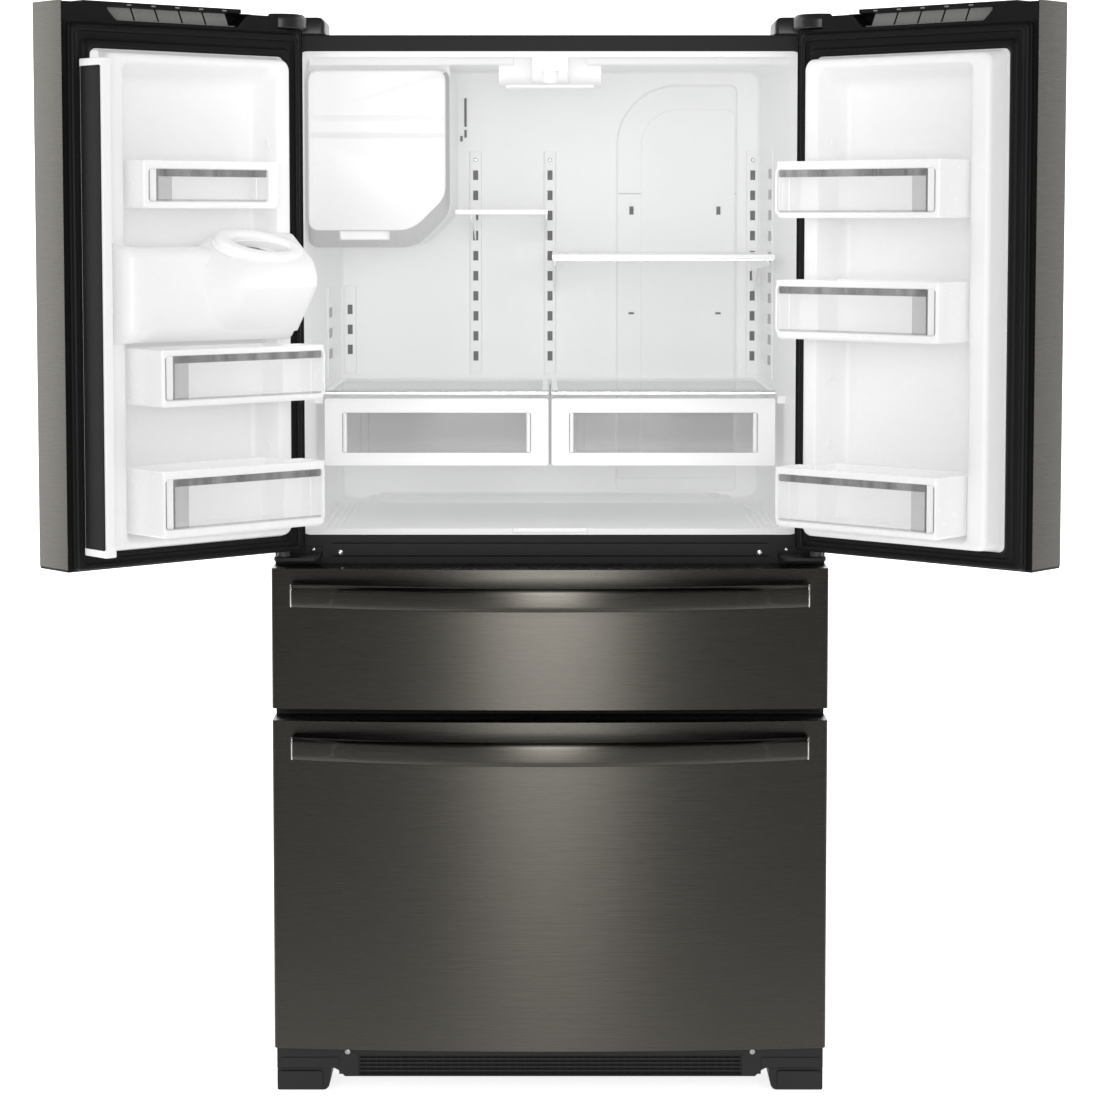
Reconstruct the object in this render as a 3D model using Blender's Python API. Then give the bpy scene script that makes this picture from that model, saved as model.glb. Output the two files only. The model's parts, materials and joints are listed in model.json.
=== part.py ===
"""French door refrigerator: cabinet, two doors, two drawers and what they hold.

Metres, +Z up, front towards -Y.
"""

import math

import bmesh
import bpy

# Driving dimensions. Y is counted from the cabinet's front plane, positive into the cabinet.
WIDTH = 0.906
HALF = WIDTH / 2
DEPTH = 0.745
CABINET_TOP = 1.739
CABINET_BOTTOM = 0.045
SHEET = 0.0015
GAP = 0.0003

# Doors: u runs from a door's hinge edge to its free edge, w from its inner face into the cabinet.
DOOR_GAP = 0.012
DOOR_WIDTH = HALF - 0.0015
DOOR_BOTTOM = 0.9035
DOOR_TOP = 1.770
DOOR_OPEN = math.radians(138)
FACE_OUT = 0.095
BOW = 0.022
PIVOT_IN = 0.018
PIVOT_OUT = 0.048
PIVOT_W = PIVOT_OUT - DOOR_GAP

# Openings of the cabinet, each with its half width, bottom, top and depth.
FRIDGE = {"half": 0.413, "back_half": 0.3875, "bottom": 0.9215, "top": 1.7128, "depth": 0.600}
MIDDLE = {"half": 0.405, "bottom": 0.665, "top": 0.862, "depth": 0.470}
FREEZER = {"half": 0.405, "bottom": 0.115, "top": 0.612, "depth": 0.470}
LINER = 0.003
CORNER = 0.018

# Drawer fronts.
MIDDLE_FRONT = (0.645, 0.875)
FREEZER_FRONT = (0.081, 0.6255)
HANDLE_HALF = 0.420
HANDLE_HEIGHT = 0.040
HANDLE_OUT = 0.158
HANDLE_RISE = 0.059

# Mullion, folded against the left door while it is open.
MULLION_WIDTH = 0.056
MULLION_THICK = 0.020
MULLION_AXIS = (0.425, 0.020)
MULLION_FACE = 0.0077
MULLION_Z = (0.931, 1.680)

REACH = (
    PIVOT_OUT
    + (MULLION_AXIS[0] + MULLION_FACE - PIVOT_IN) * math.sin(DOOR_OPEN)
    - (MULLION_AXIS[1] + MULLION_WIDTH + PIVOT_W) * math.cos(DOOR_OPEN)
)
FRONT_Y = (REACH - DEPTH) / 2

ARC_STEPS = 12


def clear_scene():
    for old in list(bpy.data.objects):
        bpy.data.objects.remove(old, do_unlink=True)


def finish(name, color, roughness, metallic=0.0):
    found = bpy.data.materials.new(name)
    found.use_nodes = True
    shader = found.node_tree.nodes["Principled BSDF"]
    shader.inputs["Base Color"].default_value = (*color, 1)
    shader.inputs["Roughness"].default_value = roughness
    shader.inputs["Metallic"].default_value = metallic
    return found


def frame_at(name, place, parent=None, turn=0.0):
    found = bpy.data.objects.new(name, None)
    bpy.context.collection.objects.link(found)
    found.parent = parent
    found.location = place
    found.rotation_euler = (0, 0, turn)
    return found


def solid(name, parent, color, points, faces, roughness=0.5, metallic=0.0):
    """A closed mesh object from points and faces, its normals facing out."""
    mesh = bpy.data.meshes.new(name)
    mesh.from_pydata([tuple(p) for p in points], [], faces)
    work = bmesh.new()
    work.from_mesh(mesh)
    bmesh.ops.recalc_face_normals(work, faces=work.faces)
    work.to_mesh(mesh)
    work.free()
    mesh.materials.append(finish(name, color, roughness, metallic))
    found = bpy.data.objects.new(name, mesh)
    bpy.context.collection.objects.link(found)
    found.parent = parent
    return found


def loft(rings):
    """Points and faces of a tube through rings of equal length, closed by a face at each end."""
    count = len(rings[0])
    points = [p for ring in rings for p in ring]
    faces = [list(range(count))]
    for level in range(len(rings) - 1):
        low = level * count
        for i in range(count):
            j = (i + 1) % count
            faces.append([low + i, low + j, low + count + j, low + count + i])
    faces.append(list(range((len(rings) - 1) * count, len(rings) * count)))
    return points, faces


def upright(outline, low, high):
    """A prism: an outline of (x, y) points between two heights."""
    return loft([[(x, y, z) for x, y in outline] for z in (low, high)])


def across(outline, left, right):
    """A prism: an outline of (y, z) points between two places along X."""
    return loft([[(x, y, z) for y, z in outline] for x in (left, right)])


def inward(outline, front, back):
    """A prism: an outline of (x, z) points between two places along Y."""
    return loft([[(x, y, z) for x, z in outline] for y in (front, back)])


def block(low, high):
    return upright(
        [(low[0], low[1]), (high[0], low[1]), (high[0], high[1]), (low[0], high[1])], low[2], high[2]
    )


def merged(*shapes):
    """Several closed shapes as one list of points and faces, for a cutter."""
    points, faces = [], []
    for some_points, some_faces in shapes:
        start = len(points)
        points += some_points
        faces += [[start + i for i in face] for face in some_faces]
    return points, faces


def boolean(target, parent, shape, operation="DIFFERENCE"):
    tool = solid(f"{target.name}_tool_{len(target.modifiers)}", parent, (1, 0, 0), *shape)
    tool.hide_render = True
    tool.display_type = "WIRE"
    modifier = target.modifiers.new(operation.title(), "BOOLEAN")
    modifier.operation = operation
    modifier.solver = "EXACT"
    modifier.object = tool


def rounded(left, right, low, high, radius, steps=4):
    """A rectangle with round corners, as a list of points."""
    centres = (
        (right - radius, high - radius, 0),
        (left + radius, high - radius, 90),
        (left + radius, low + radius, 180),
        (right - radius, low + radius, 270),
    )
    points = []
    for x, z, start in centres:
        for i in range(steps + 1):
            angle = math.radians(start + 90 * i / steps)
            points.append((x + radius * math.cos(angle), z + radius * math.sin(angle)))
    return points


def circle(x, y, radius, steps=20):
    turns = [2 * math.pi * i / steps for i in range(steps)]
    return [(x + radius * math.cos(t), y + radius * math.sin(t)) for t in turns]


def face_y(x):
    """The bowed front that doors and drawers share."""
    return -FACE_OUT + BOW * (x / HALF) ** 2


def spread(start, end, steps):
    return [start + (end - start) * i / steps for i in range(steps + 1)]


def open_box(front_ring, back_ring, front, back, wall):
    """A box open towards -Y, from two outlines of (x, z) points of its inside."""

    def grown(ring, by):
        middle_x = (min(p[0] for p in ring) + max(p[0] for p in ring)) / 2
        middle_z = (min(p[1] for p in ring) + max(p[1] for p in ring)) / 2
        return [(x + math.copysign(by, x - middle_x), z + math.copysign(by, z - middle_z)) for x, z in ring]

    rings = [
        [(x, back, z) for x, z in back_ring],
        [(x, front, z) for x, z in front_ring],
        [(x, front, z) for x, z in grown(front_ring, wall)],
        [(x, back + wall, z) for x, z in grown(back_ring, wall)],
    ]
    return loft(rings)


def tub(outline, inner, bottom, top, floor):
    """A vessel open at its top, from an outer and an inner outline of (x, y) points of equal length."""
    rings = [
        [(x, y, bottom) for x, y in outline],
        [(x, y, top) for x, y in outline],
        [(x, y, top) for x, y in inner],
        [(x, y, bottom + floor) for x, y in inner],
    ]
    return loft(rings)


def square_tub(left, right, front, back, bottom, top, wall):
    outer = [(left, front), (right, front), (right, back), (left, back)]
    inner = [
        (left + wall, front + wall),
        (right - wall, front + wall),
        (right - wall, back - wall),
        (left + wall, back - wall),
    ]
    return tub(outer, inner, bottom, top, wall)


# ---- colours ----
BLACK_STEEL = (0.075, 0.072, 0.066)
BLACK = (0.015, 0.015, 0.016)
WHITE = (0.86, 0.87, 0.88)
CLEAR = (0.75, 0.80, 0.82)
GREY = (0.20, 0.20, 0.21)


def cabinet_shell(cabinet):
    front = SHEET * 2
    shell = solid(
        "cabinet_shell",
        cabinet,
        GREY,
        *open_box(
            [(HALF - SHEET, CABINET_TOP - SHEET), (-HALF + SHEET, CABINET_TOP - SHEET),
             (-HALF + SHEET, CABINET_BOTTOM + SHEET), (HALF - SHEET, CABINET_BOTTOM + SHEET)],
            [(HALF - SHEET, CABINET_TOP - SHEET), (-HALF + SHEET, CABINET_TOP - SHEET),
             (-HALF + SHEET, CABINET_BOTTOM + SHEET), (HALF - SHEET, CABINET_BOTTOM + SHEET)],
            front,
            DEPTH - 2 * SHEET - GAP,
            SHEET,
        ),
        roughness=0.45,
        metallic=0.4,
    )
    boolean(shell, cabinet, block((-0.40, 0.70, 0.075), (0.40, 0.80, 0.245)))


def liner(name, cabinet, hole, back_half):
    shape = open_box(
        rounded(-hole["half"], hole["half"], hole["bottom"], hole["top"], CORNER),
        rounded(-back_half, back_half, hole["bottom"], hole["top"], CORNER),
        2 * SHEET,
        hole["depth"],
        LINER,
    )
    solid(name, cabinet, WHITE, *shape)


def front_frame(cabinet):
    frame = solid(
        "front_frame",
        cabinet,
        BLACK,
        *block((-HALF, 0, CABINET_BOTTOM), (HALF, 2 * SHEET - GAP, CABINET_TOP)),
        metallic=0.5,
    )
    holes = [
        inward(rounded(-h["half"], h["half"], h["bottom"], h["top"], CORNER), -0.01, 0.01)
        for h in (FRIDGE, MIDDLE, FREEZER)
    ]
    boolean(frame, cabinet, merged(*holes))


FOOT_TOP = 0.037
FOOT_IN = 0.362


def base_grille(cabinet):
    half, low, high = HALF - 0.001, 0.0235, 0.080
    step = FOOT_TOP + 0.0006
    outline = [
        (-half, step), (-FOOT_IN + 0.006, step), (-FOOT_IN + 0.016, low), (FOOT_IN - 0.016, low),
        (FOOT_IN - 0.006, step), (half, step), (half, high), (-half, high),
    ]
    grille = solid("base_grille", cabinet, BLACK, *inward(outline, -0.040, -0.034))
    pitch, opening, reach = 0.0066, 0.0034, 0.308
    slots = [
        block((-reach, -0.05, 0.0275 + pitch * i), (reach, -0.02, 0.0275 + pitch * i + opening))
        for i in range(5)
    ]
    boolean(grille, cabinet, merged(*slots))


def feet(cabinet):
    for name, side in (("foot_left", -1), ("foot_right", 1)):
        outline = [
            (side * (HALF - 0.001), 0), (side * (FOOT_IN + 0.010), 0), (side * (FOOT_IN + 0.003), 0.010),
            (side * FOOT_IN, FOOT_TOP), (side * (HALF - 0.001), FOOT_TOP),
        ]
        solid(name, cabinet, BLACK, *inward(outline, -0.038, 0.055))


BAY_HALF = 0.430
BAY_SHEET = 0.002
COMPRESSOR_AT = (-0.21, 0.628)
# Height and radius of each ring of the compressor's dome.
COMPRESSOR_RINGS = ((0.052, 0.060), (0.060, 0.074), (0.150, 0.076), (0.185, 0.066), (0.205, 0.036))
REAR_COVER = {"half": 0.42, "low": 0.060, "high": 0.262, "vent": 0.10, "slot": 0.0036}


def machine_space(cabinet):
    thick = BAY_SHEET
    front, back, low, high = 0.520, 0.735, 0.048, 0.262
    outside = [(back, low), (front, low), (front, high), (back, high)]
    inside = [
        (back, high - thick), (front + thick, high - thick),
        (front + thick, low + thick), (back, low + thick),
    ]
    solid("machine_bay", cabinet, GREY, *across(outside + inside, -BAY_HALF, BAY_HALF), metallic=0.6)
    rings = []
    for z, radius in COMPRESSOR_RINGS:
        rings.append([(x, y, z) for x, y in circle(*COMPRESSOR_AT, radius)])
    compressor = solid("compressor", cabinet, BLACK, *loft(rings), metallic=0.6)
    compressor.data.shade_smooth()
    compressor.data.set_sharp_from_angle(angle=math.radians(35))
    dims = REAR_COVER
    plate = block((-dims["half"], DEPTH - SHEET, dims["low"]), (dims["half"], DEPTH, dims["high"]))
    cover = solid("rear_cover", cabinet, GREY, *plate, metallic=0.4)
    slots = [
        block((x, DEPTH - 0.01, z), (x + dims["vent"], DEPTH + 0.01, z + dims["slot"]))
        for x in (-0.36, -0.22, 0.12, 0.26)
        for z in spread(0.10, 0.22, 4)
    ]
    boolean(cover, cabinet, merged(*slots))


def air_duct_cover(cabinet):
    """A flat cover up the back wall, its left shoulder round and its right side straight to the top."""
    left, right, low, spring, cut = 0.122, 0.344, 0.950, 1.575, 0.012
    middle, radius = (left + right) / 2, (right - left) / 2
    turns = [math.pi / 2 * (1 + i / ARC_STEPS) for i in range(ARC_STEPS + 1)]
    outline = [(right, spring + radius - cut), (right - cut, spring + radius)]
    outline += [(middle + radius * math.cos(t), spring + radius * math.sin(t)) for t in turns]
    outline += [(left, low + 0.02), (left + 0.02, low), (right - 0.02, low), (right, low + 0.02)]
    depth = FRIDGE["depth"]
    solid("air_duct_cover", cabinet, WHITE, *inward(outline, depth - 0.010, depth - GAP))


def light_housing(cabinet):
    half, front, back, low, high = 0.085, 0.090, 0.240, 1.662, FRIDGE["top"] - GAP
    profile = [(front, high), (front, low + 0.014), (front + 0.012, low), (back - 0.03, low), (back, high)]
    solid("light_housing", cabinet, WHITE, *across(profile, -half, half))


RAIL_HALF = 0.012
RAIL_Z = (1.155, 1.565)


def rails(cabinet):
    depth = FRIDGE["depth"]
    places = (("rail_left_inner", -0.137), ("rail_right_inner", 0.0), ("rail_right_corner", 0.3735))
    for name, x in places:
        solid(
            name,
            cabinet,
            WHITE,
            *block((x - RAIL_HALF, depth - 0.007, RAIL_Z[0]), (x + RAIL_HALF, depth - GAP, RAIL_Z[1])),
        )


def shelves(cabinet):
    back = FRIDGE["depth"] - 0.012
    trim, glass = 0.010, 0.0045

    def lip(front, z):
        return [
            (front, z), (front, z + trim), (front + 0.016, z + trim), (front + 0.020, z + trim - 0.002),
            (back, z + trim - 0.002), (back, z + trim - 0.002 - glass),
            (front + 0.016, z + trim - 0.002 - glass), (front + 0.010, z),
        ]

    solid("shelf_small", cabinet, CLEAR, *across(lip(0.250, 1.447), -0.163, -0.004))
    front, left, right, low = 0.200, 0.004, 0.3835, 1.370
    frame = solid("shelf_wide_frame", cabinet, WHITE, *block((left, front, low), (right, back, low + trim)))
    edge = 0.012
    hole = block((left + edge, front + 0.018, low - 0.01), (right - edge, back - edge, low + 0.02))
    boolean(frame, cabinet, hole)
    gap = edge + GAP
    solid(
        "shelf_wide_glass",
        cabinet,
        CLEAR,
        *block((left + gap, front + 0.0183, low + 0.004), (right - gap, back - gap, low + 0.008)),
        roughness=0.05,
    )


CRISPER_FRONT = 0.210
CRISPER_Z = (1.017, 1.134)


def crispers(cabinet):
    inner, outer = 0.0022, 0.3873
    for side_name, side in (("left", -1), ("right", 1)):
        ends = sorted((side * inner, side * outer))
        solid(
            f"crisper_cover_{side_name}",
            cabinet,
            CLEAR,
            *block((ends[0] + 0.001, 0.200, 1.139), (ends[1] - 0.001, 0.588, 1.147)),
        )
        slide = frame_at(f"crisper_slide_{side_name}", (0, CRISPER_FRONT, 0), cabinet)
        panel = solid(
            f"crisper_front_{side_name}",
            slide,
            WHITE,
            *inward(rounded(ends[0], ends[1], *CRISPER_Z, 0.004, 2), 0, 0.016),
        )
        window = inward(rounded(ends[0] + 0.028, ends[1] - 0.028, 1.038, 1.110, 0.004, 2), -0.01, 0.013)
        boolean(panel, slide, window)
        solid(
            f"crisper_tray_{side_name}",
            slide,
            CLEAR,
            *square_tub(ends[0] + 0.004, ends[1] - 0.004, 0.0163, 0.345, 1.020, 1.130, 0.003),
        )


ICE_LEFT, ICE_RIGHT = -0.404, -0.1690
ICE_FRONT, ICE_BACK = 0.100, 0.560
ICE_Z = (1.401, 1.688)
ICE_CUT = 0.056


def cut_corner(left, right, low, high, cut):
    """A rectangle of (x, z) points whose lower right corner is cut off at 45 degrees."""
    return [(left, low), (right - cut, low), (right, low + cut), (right, high), (left, high)]


def ice_maker(cabinet):
    inside, thick = 0.388, 0.003
    housing = solid(
        "ice_maker_housing",
        cabinet,
        WHITE,
        *inward(cut_corner(-inside + 0.007, ICE_RIGHT, 1.393, 1.700, ICE_CUT), 0.131, 0.585),
    )
    hollow = cut_corner(-inside + 0.010, ICE_RIGHT - thick, 1.396, 1.697, ICE_CUT - 0.001)
    boolean(housing, cabinet, inward(hollow, 0.10, 0.580))

    slide = frame_at("ice_bin_slide", (0, ICE_FRONT, 0), cabinet)
    face = cut_corner(ICE_LEFT, ICE_RIGHT, *ICE_Z, ICE_CUT)
    ice_bin = solid("ice_bin", slide, WHITE, *inward(face, 0, 0.028))
    left, right, low, high = -inside + 0.014, ICE_RIGHT - 0.007, ICE_Z[0], 1.600
    body = cut_corner(left, right, low, high, ICE_CUT)
    boolean(ice_bin, slide, inward(body, 0.020, ICE_BACK - ICE_FRONT), "UNION")
    space = cut_corner(left + 0.004, right - 0.004, low + 0.004, high + 0.05, ICE_CUT - 0.001)
    boolean(ice_bin, slide, inward(space, 0.032, ICE_BACK - ICE_FRONT - 0.004))
    low_z = ICE_Z[0]
    wedge = [(-0.01, low_z - 0.01), (-0.01, low_z + 0.040), (0.025, low_z - 0.001), (0.025, low_z - 0.011)]
    grip = across([(-0.01, 1.404), (-0.01, 1.422), (0.022, 1.422), (0.022, 1.404)], -0.352, -0.270)
    boolean(ice_bin, slide, across(wedge, -0.42, -0.15))
    boolean(ice_bin, slide, grip)


HINGE_REACH = 0.041
HINGE_FRONT = -0.006
NOTCH_Z = 1.743


def hinges(cabinet):
    for name, side in (("left", -1), ("right", 1)):
        pivot_x = side * (HALF - PIVOT_IN)
        disc = [
            (pivot_x + HINGE_REACH * 0.5 * math.cos(a), -PIVOT_OUT + HINGE_REACH * 0.5 * math.sin(a))
            for a in (math.pi * i / ARC_STEPS + math.pi for i in range(ARC_STEPS + 1))
        ]
        arm = upright(disc + [(pivot_x + 0.0205, 0.0), (pivot_x - 0.0205, 0.0)], CABINET_TOP + 0.0045, 1.768)
        edge = sorted((side * 0.449, side * 0.366))
        plate = block((edge[0], HINGE_FRONT, CABINET_TOP + GAP), (edge[1], 0.110, 1.768))
        cover = solid(f"hinge_cover_{name}", cabinet, BLACK, *plate)
        boolean(cover, cabinet, arm, "UNION")
        pin = upright(circle(pivot_x, -PIVOT_OUT, 0.005, 12), 1.730, 1.750)
        boolean(cover, cabinet, pin, "UNION")

        edge = sorted((side * 0.449, side * 0.375))
        low = solid(
            f"hinge_lower_{name}",
            cabinet,
            BLACK,
            *block((edge[0], -0.074, 0.886), (edge[1], -GAP, 0.892)),
            metallic=0.6,
        )
        boolean(low, cabinet, upright(circle(pivot_x, -PIVOT_OUT, 0.006, 12), 0.890, 0.913), "UNION")
        boolean(low, cabinet, upright(circle(pivot_x, -PIVOT_OUT, 0.011, 12), 0.891, 0.9022), "UNION")


def rollers(cabinet):
    radius = 0.0215
    for name, x in (("roller_left", -0.385), ("roller_right", 0.385)):
        axle = frame_at(f"{name}_axle", (x, 0.655, radius + GAP), cabinet)
        outline = [(y, z) for y, z in circle(0, 0, radius, 24)]
        wheel = solid(name, axle, GREY, *across(outline, -0.011, 0.011))
        wheel.data.shade_smooth()
        wheel.data.set_sharp_from_angle(angle=math.radians(35))


class Door:
    """Turns a door's own u and w into places beside its hinge axis."""

    def __init__(self, name, side, cabinet):
        self.name = name
        self.sign = -side
        place = (side * (HALF - PIVOT_IN), -PIVOT_OUT, 0)
        self.hinge = frame_at(f"{name}_hinge", place, cabinet, self.sign * -DOOR_OPEN)

    def at(self, u, w):
        return self.sign * (u - PIVOT_IN), w + PIVOT_W

    def plan(self, outline):
        return [self.at(u, w) for u, w in outline]

    def column(self, outline, low, high):
        """A prism of (u, w) points between two heights."""
        return upright(self.plan(outline), low, high)

    def cell(self, u0, u1, w0, w1, low, high):
        return self.column([(u0, w0), (u1, w0), (u1, w1), (u0, w1)], low, high)

    def side_on(self, outline, u0, u1):
        """A prism of (w, z) points between two places along u."""
        return loft([[(*self.at(u, w), z) for w, z in outline] for u in (u0, u1)])

    def face_w(self, u):
        return face_y(HALF - u) + DOOR_GAP

    def make(self, part, color, shape, **look):
        return solid(f"{self.name}_{part}", self.hinge, color, *shape, **look)


EDGE_ROUND = 0.006


def door_outline(door, inset):
    """The door seen from above: inner face, free edge, bowed outer face, hinge edge."""
    start, end = inset, DOOR_WIDTH - inset
    front = [(u, door.face_w(u) + inset) for u in spread(start + EDGE_ROUND, end - EDGE_ROUND, ARC_STEPS)]
    return (
        [(start, -inset), (start, front[0][1] + EDGE_ROUND)]
        + front
        + [(end, front[-1][1] + EDGE_ROUND), (end, -inset)]
    )


DOOR_CAP = 0.032
DOOR_FOOT = 0.015
BAY_U = (0.135, 0.315)
BAY_Z = (1.060, 1.420)


def door_skin(door):
    skin = door.make("skin", BLACK_STEEL, door.column(door_outline(door, 0), DOOR_BOTTOM, DOOR_TOP),
                     roughness=0.35, metallic=0.8)
    hollow = door.column(door_outline(door, SHEET), DOOR_BOTTOM + DOOR_FOOT, DOOR_TOP - DOOR_CAP)
    mouth = door.cell(0.030, 0.425, -0.02, 0.01, DOOR_BOTTOM + 0.019, 1.708)
    boolean(skin, door.hinge, hollow)
    boolean(skin, door.hinge, mouth)
    top_notch = upright(circle(0, 0, HINGE_REACH + 0.004, 28), NOTCH_Z, DOOR_TOP + 0.01)
    pins = upright(circle(0, 0, 0.0065, 12), DOOR_BOTTOM - 0.01, DOOR_TOP + 0.01)
    pocket = door.side_on([(-0.030, 1.748), (0.01, 1.741), (0.01, 1.765), (-0.030, 1.760)], 0.130, 0.350)
    boolean(skin, door.hinge, pocket)
    boolean(skin, door.hinge, top_notch)
    boolean(skin, door.hinge, pins)
    return skin


def gasket(door):
    ring = door.make("gasket", BLACK, door.cell(0.012, 0.443, GAP, 0.0115, 0.9055, 1.7365), roughness=0.7)
    boolean(ring, door.hinge, door.cell(0.026, 0.4275, -0.01, 0.03, 0.9200, 1.7220))


LINER_U = (0.0265, 0.4270)
LINER_Z = (0.9205, 1.7215)
CREST = (0.049, 0.078, 0.362, 0.398)
RIM_Z = (0.935, 0.943, 1.674, 1.692)
RECESS_W = -0.026


def door_liner(door, crest, ledge=None):
    """The white inner panel: a flange, a raised rim and the recess inside it, as one sheet with thickness."""
    flange = 0.0032
    edge, steep, slope = 0.004, 0.003, 0.012
    us = [
        LINER_U[0], CREST[0] - edge, CREST[0], CREST[1], CREST[1] + steep,
        CREST[2] - steep, CREST[2], CREST[3], CREST[3] + edge, LINER_U[1],
    ]
    zs = [
        LINER_Z[0], RIM_Z[0] - edge, RIM_Z[0], RIM_Z[1], RIM_Z[1] + slope,
        RIM_Z[2] - slope, RIM_Z[2], RIM_Z[3], RIM_Z[3] + edge, LINER_Z[1],
    ]
    if ledge:
        zs[5:5] = [ledge[0], ledge[0] + slope, ledge[1] - slope, ledge[1]]

    def height(i, j):
        last_u, last_z = len(us) - 1, len(zs) - 1
        if i in (0, 1, last_u - 1, last_u) or j in (0, 1, last_z - 1, last_z):
            return flange
        if i in (2, 3, last_u - 3, last_u - 2) or j in (2, 3, last_z - 3, last_z - 2):
            return crest
        if ledge and ledge[0] < zs[j] < ledge[1]:
            return ledge[2]
        return RECESS_W

    front = [[(*door.at(u, height(i, j)), z) for j, z in enumerate(zs)] for i, u in enumerate(us)]
    points = [p for row in front for p in row]
    count = len(zs)
    faces = [
        [i * count + j, (i + 1) * count + j, (i + 1) * count + j + 1, i * count + j + 1]
        for i in range(len(us) - 1)
        for j in range(count - 1)
    ]
    mesh = bpy.data.meshes.new(f"{door.name}_liner")
    mesh.from_pydata(points, [], faces)
    work = bmesh.new()
    work.from_mesh(mesh)
    bmesh.ops.recalc_face_normals(work, faces=work.faces)
    work.faces.ensure_lookup_table()
    if work.faces[0].normal.y < 0:
        bmesh.ops.reverse_faces(work, faces=work.faces)
    work.to_mesh(mesh)
    work.free()
    mesh.materials.append(finish(f"{door.name}_liner", WHITE, 0.4))
    sheet = bpy.data.objects.new(f"{door.name}_liner", mesh)
    bpy.context.collection.objects.link(sheet)
    sheet.parent = door.hinge
    thick = sheet.modifiers.new("Solidify", "SOLIDIFY")
    thick.thickness = 0.0025
    thick.offset = -1
    thick.use_even_offset = True


BIN_IN, BIN_OUT = 0.0815, 0.3575


def door_bin(door, part, low, high, reach, hinge_end, wall=0.003):
    """A bin held between the rim's two sides; its front part is wider on the hinge side."""
    step_w = 0.054

    def outline(inset):
        back = inset
        front = reach - inset
        corner = 0.010 - inset
        end = BIN_OUT - inset
        points = [(end, back), (end, front - corner), (end - corner, front)]
        points += [(hinge_end + inset + corner, front), (hinge_end + inset, front - corner)]
        if hinge_end < BIN_IN:
            points += [(hinge_end + inset, step_w + inset), (BIN_IN + inset, step_w + inset)]
            points += [(BIN_IN + inset, back)]
        else:
            points += [(hinge_end + inset, back)]
        return door.plan(points)

    door.make(part, WHITE, tub(outline(0), outline(wall), low, high, wall))


def door_handle(door):
    """A vertical bar that bows away from the door and meets it at both ends."""
    u, wide = 0.398, 0.024
    face = max(door.face_w(u - wide / 2), door.face_w(u + wide / 2))
    nearest = min(door.face_w(u - wide / 2), door.face_w(u + wide / 2)) - GAP
    low, high, foot, thick = 1.010, 1.665, 0.022, 0.010
    middle, half = (low + high) / 2, (high - low) / 2

    def out(z):
        return face - 0.058 + 0.030 * ((z - middle) / half) ** 2

    outer = [(out(z), z) for z in spread(low, high, ARC_STEPS)]
    inner = [(out(z) + thick, z) for z in spread(high - foot, low + foot, ARC_STEPS)]
    top_foot = [(nearest, high), (nearest, high - foot)]
    outline = outer + top_foot + inner + [(nearest, low + foot), (nearest, low)]
    door.make("handle", BLACK_STEEL, door.side_on(outline, u - wide / 2, u + wide / 2), metallic=0.8)


LEDGE = (1.252, 1.398, 0.074)


def ice_chute(door):
    """The funnel on the left door that meets the ice bin, its mouth sloping down into the fridge."""
    w0, top = LEDGE[2] + 0.0006, LEDGE[1] + 0.0008
    profile = [
        (w0, 1.268), (0.104, 1.300), (0.126, 1.335), (0.129, 1.364), (0.124, 1.371),
        (0.050, 1.424), (0.042, 1.420), (0.038, top), (w0, top),
    ]
    chute = door.make("ice_chute", WHITE, door.side_on(profile, 0.064, 0.250))
    slant = [(0.208, 0.140), (0.208, 0.1285), (0.253, 0.072), (0.260, 0.140)]
    boolean(chute, door.hinge, door.column(slant, 1.24, 1.45))
    slope = math.atan2(1.424 - 1.371, 0.124 - 0.050)
    centre_w, centre_z, deep = 0.088, 1.398, 0.034
    rings = []
    for along in (-deep, 0.02):
        ring = []
        for i in range(24):
            angle = 2 * math.pi * i / 24
            u = 0.150 + 0.058 * math.cos(angle)
            run = 0.026 * math.sin(angle)
            w = centre_w + run * math.cos(slope) + along * math.sin(slope)
            z = centre_z - run * math.sin(slope) + along * math.cos(slope)
            ring.append((*door.at(u, w), z))
        rings.append(ring)
    boolean(chute, door.hinge, loft(rings))


def dispenser(door, skin):
    """The bay on the door's outer face, and the paddle that hangs in it."""
    wall, back = 0.002, RECESS_W - 0.006
    front_edge = min(door.face_w(u) for u in BAY_U) - 0.0006
    outer = door.cell(BAY_U[0], BAY_U[1], front_edge, back, *BAY_Z)
    bay = door.make("dispenser_bay", BLACK, outer, roughness=0.3)
    inner = door.cell(BAY_U[0] + wall, BAY_U[1] - wall, -0.2, back - wall, BAY_Z[0] + wall, BAY_Z[1] - 0.110)
    boolean(bay, door.hinge, inner)
    opening = door.cell(BAY_U[0] - GAP, BAY_U[1] + GAP, -0.2, -0.05, BAY_Z[0] - GAP, BAY_Z[1] + GAP)
    boolean(skin, door.hinge, opening)

    high = BAY_Z[1] - 0.110
    axis_w, axis_z = back - 0.022, high - 0.008
    place = (*door.at((BAY_U[0] + BAY_U[1]) / 2, axis_w), axis_z)
    hinge = frame_at("dispenser_paddle_hinge", place, door.hinge)
    profile = [
        (-0.004, 0.004), (0.003, 0.004), (0.003, -0.060),
        (-0.001, -0.105), (-0.008, -0.105), (-0.004, -0.060),
    ]
    points, faces = across(profile, -0.024, 0.024)
    solid("dispenser_paddle", hinge, GREY, points, faces)


def mullion(door):
    """The folding strip behind the gap between the doors, at right angles to the open left door."""
    u, w = MULLION_AXIS
    hinge = frame_at("mullion_hinge", (*door.at(u, w), 0), door.hinge, math.radians(90))
    back, corner, edge = MULLION_THICK - MULLION_FACE, 0.003, -0.002
    outline = [
        (edge, -MULLION_FACE), (MULLION_WIDTH, -MULLION_FACE), (MULLION_WIDTH, back - corner),
        (MULLION_WIDTH - corner, back), (corner, back), (edge, back - corner),
    ]
    solid("mullion", hinge, WHITE, *upright(outline, *MULLION_Z))


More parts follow.
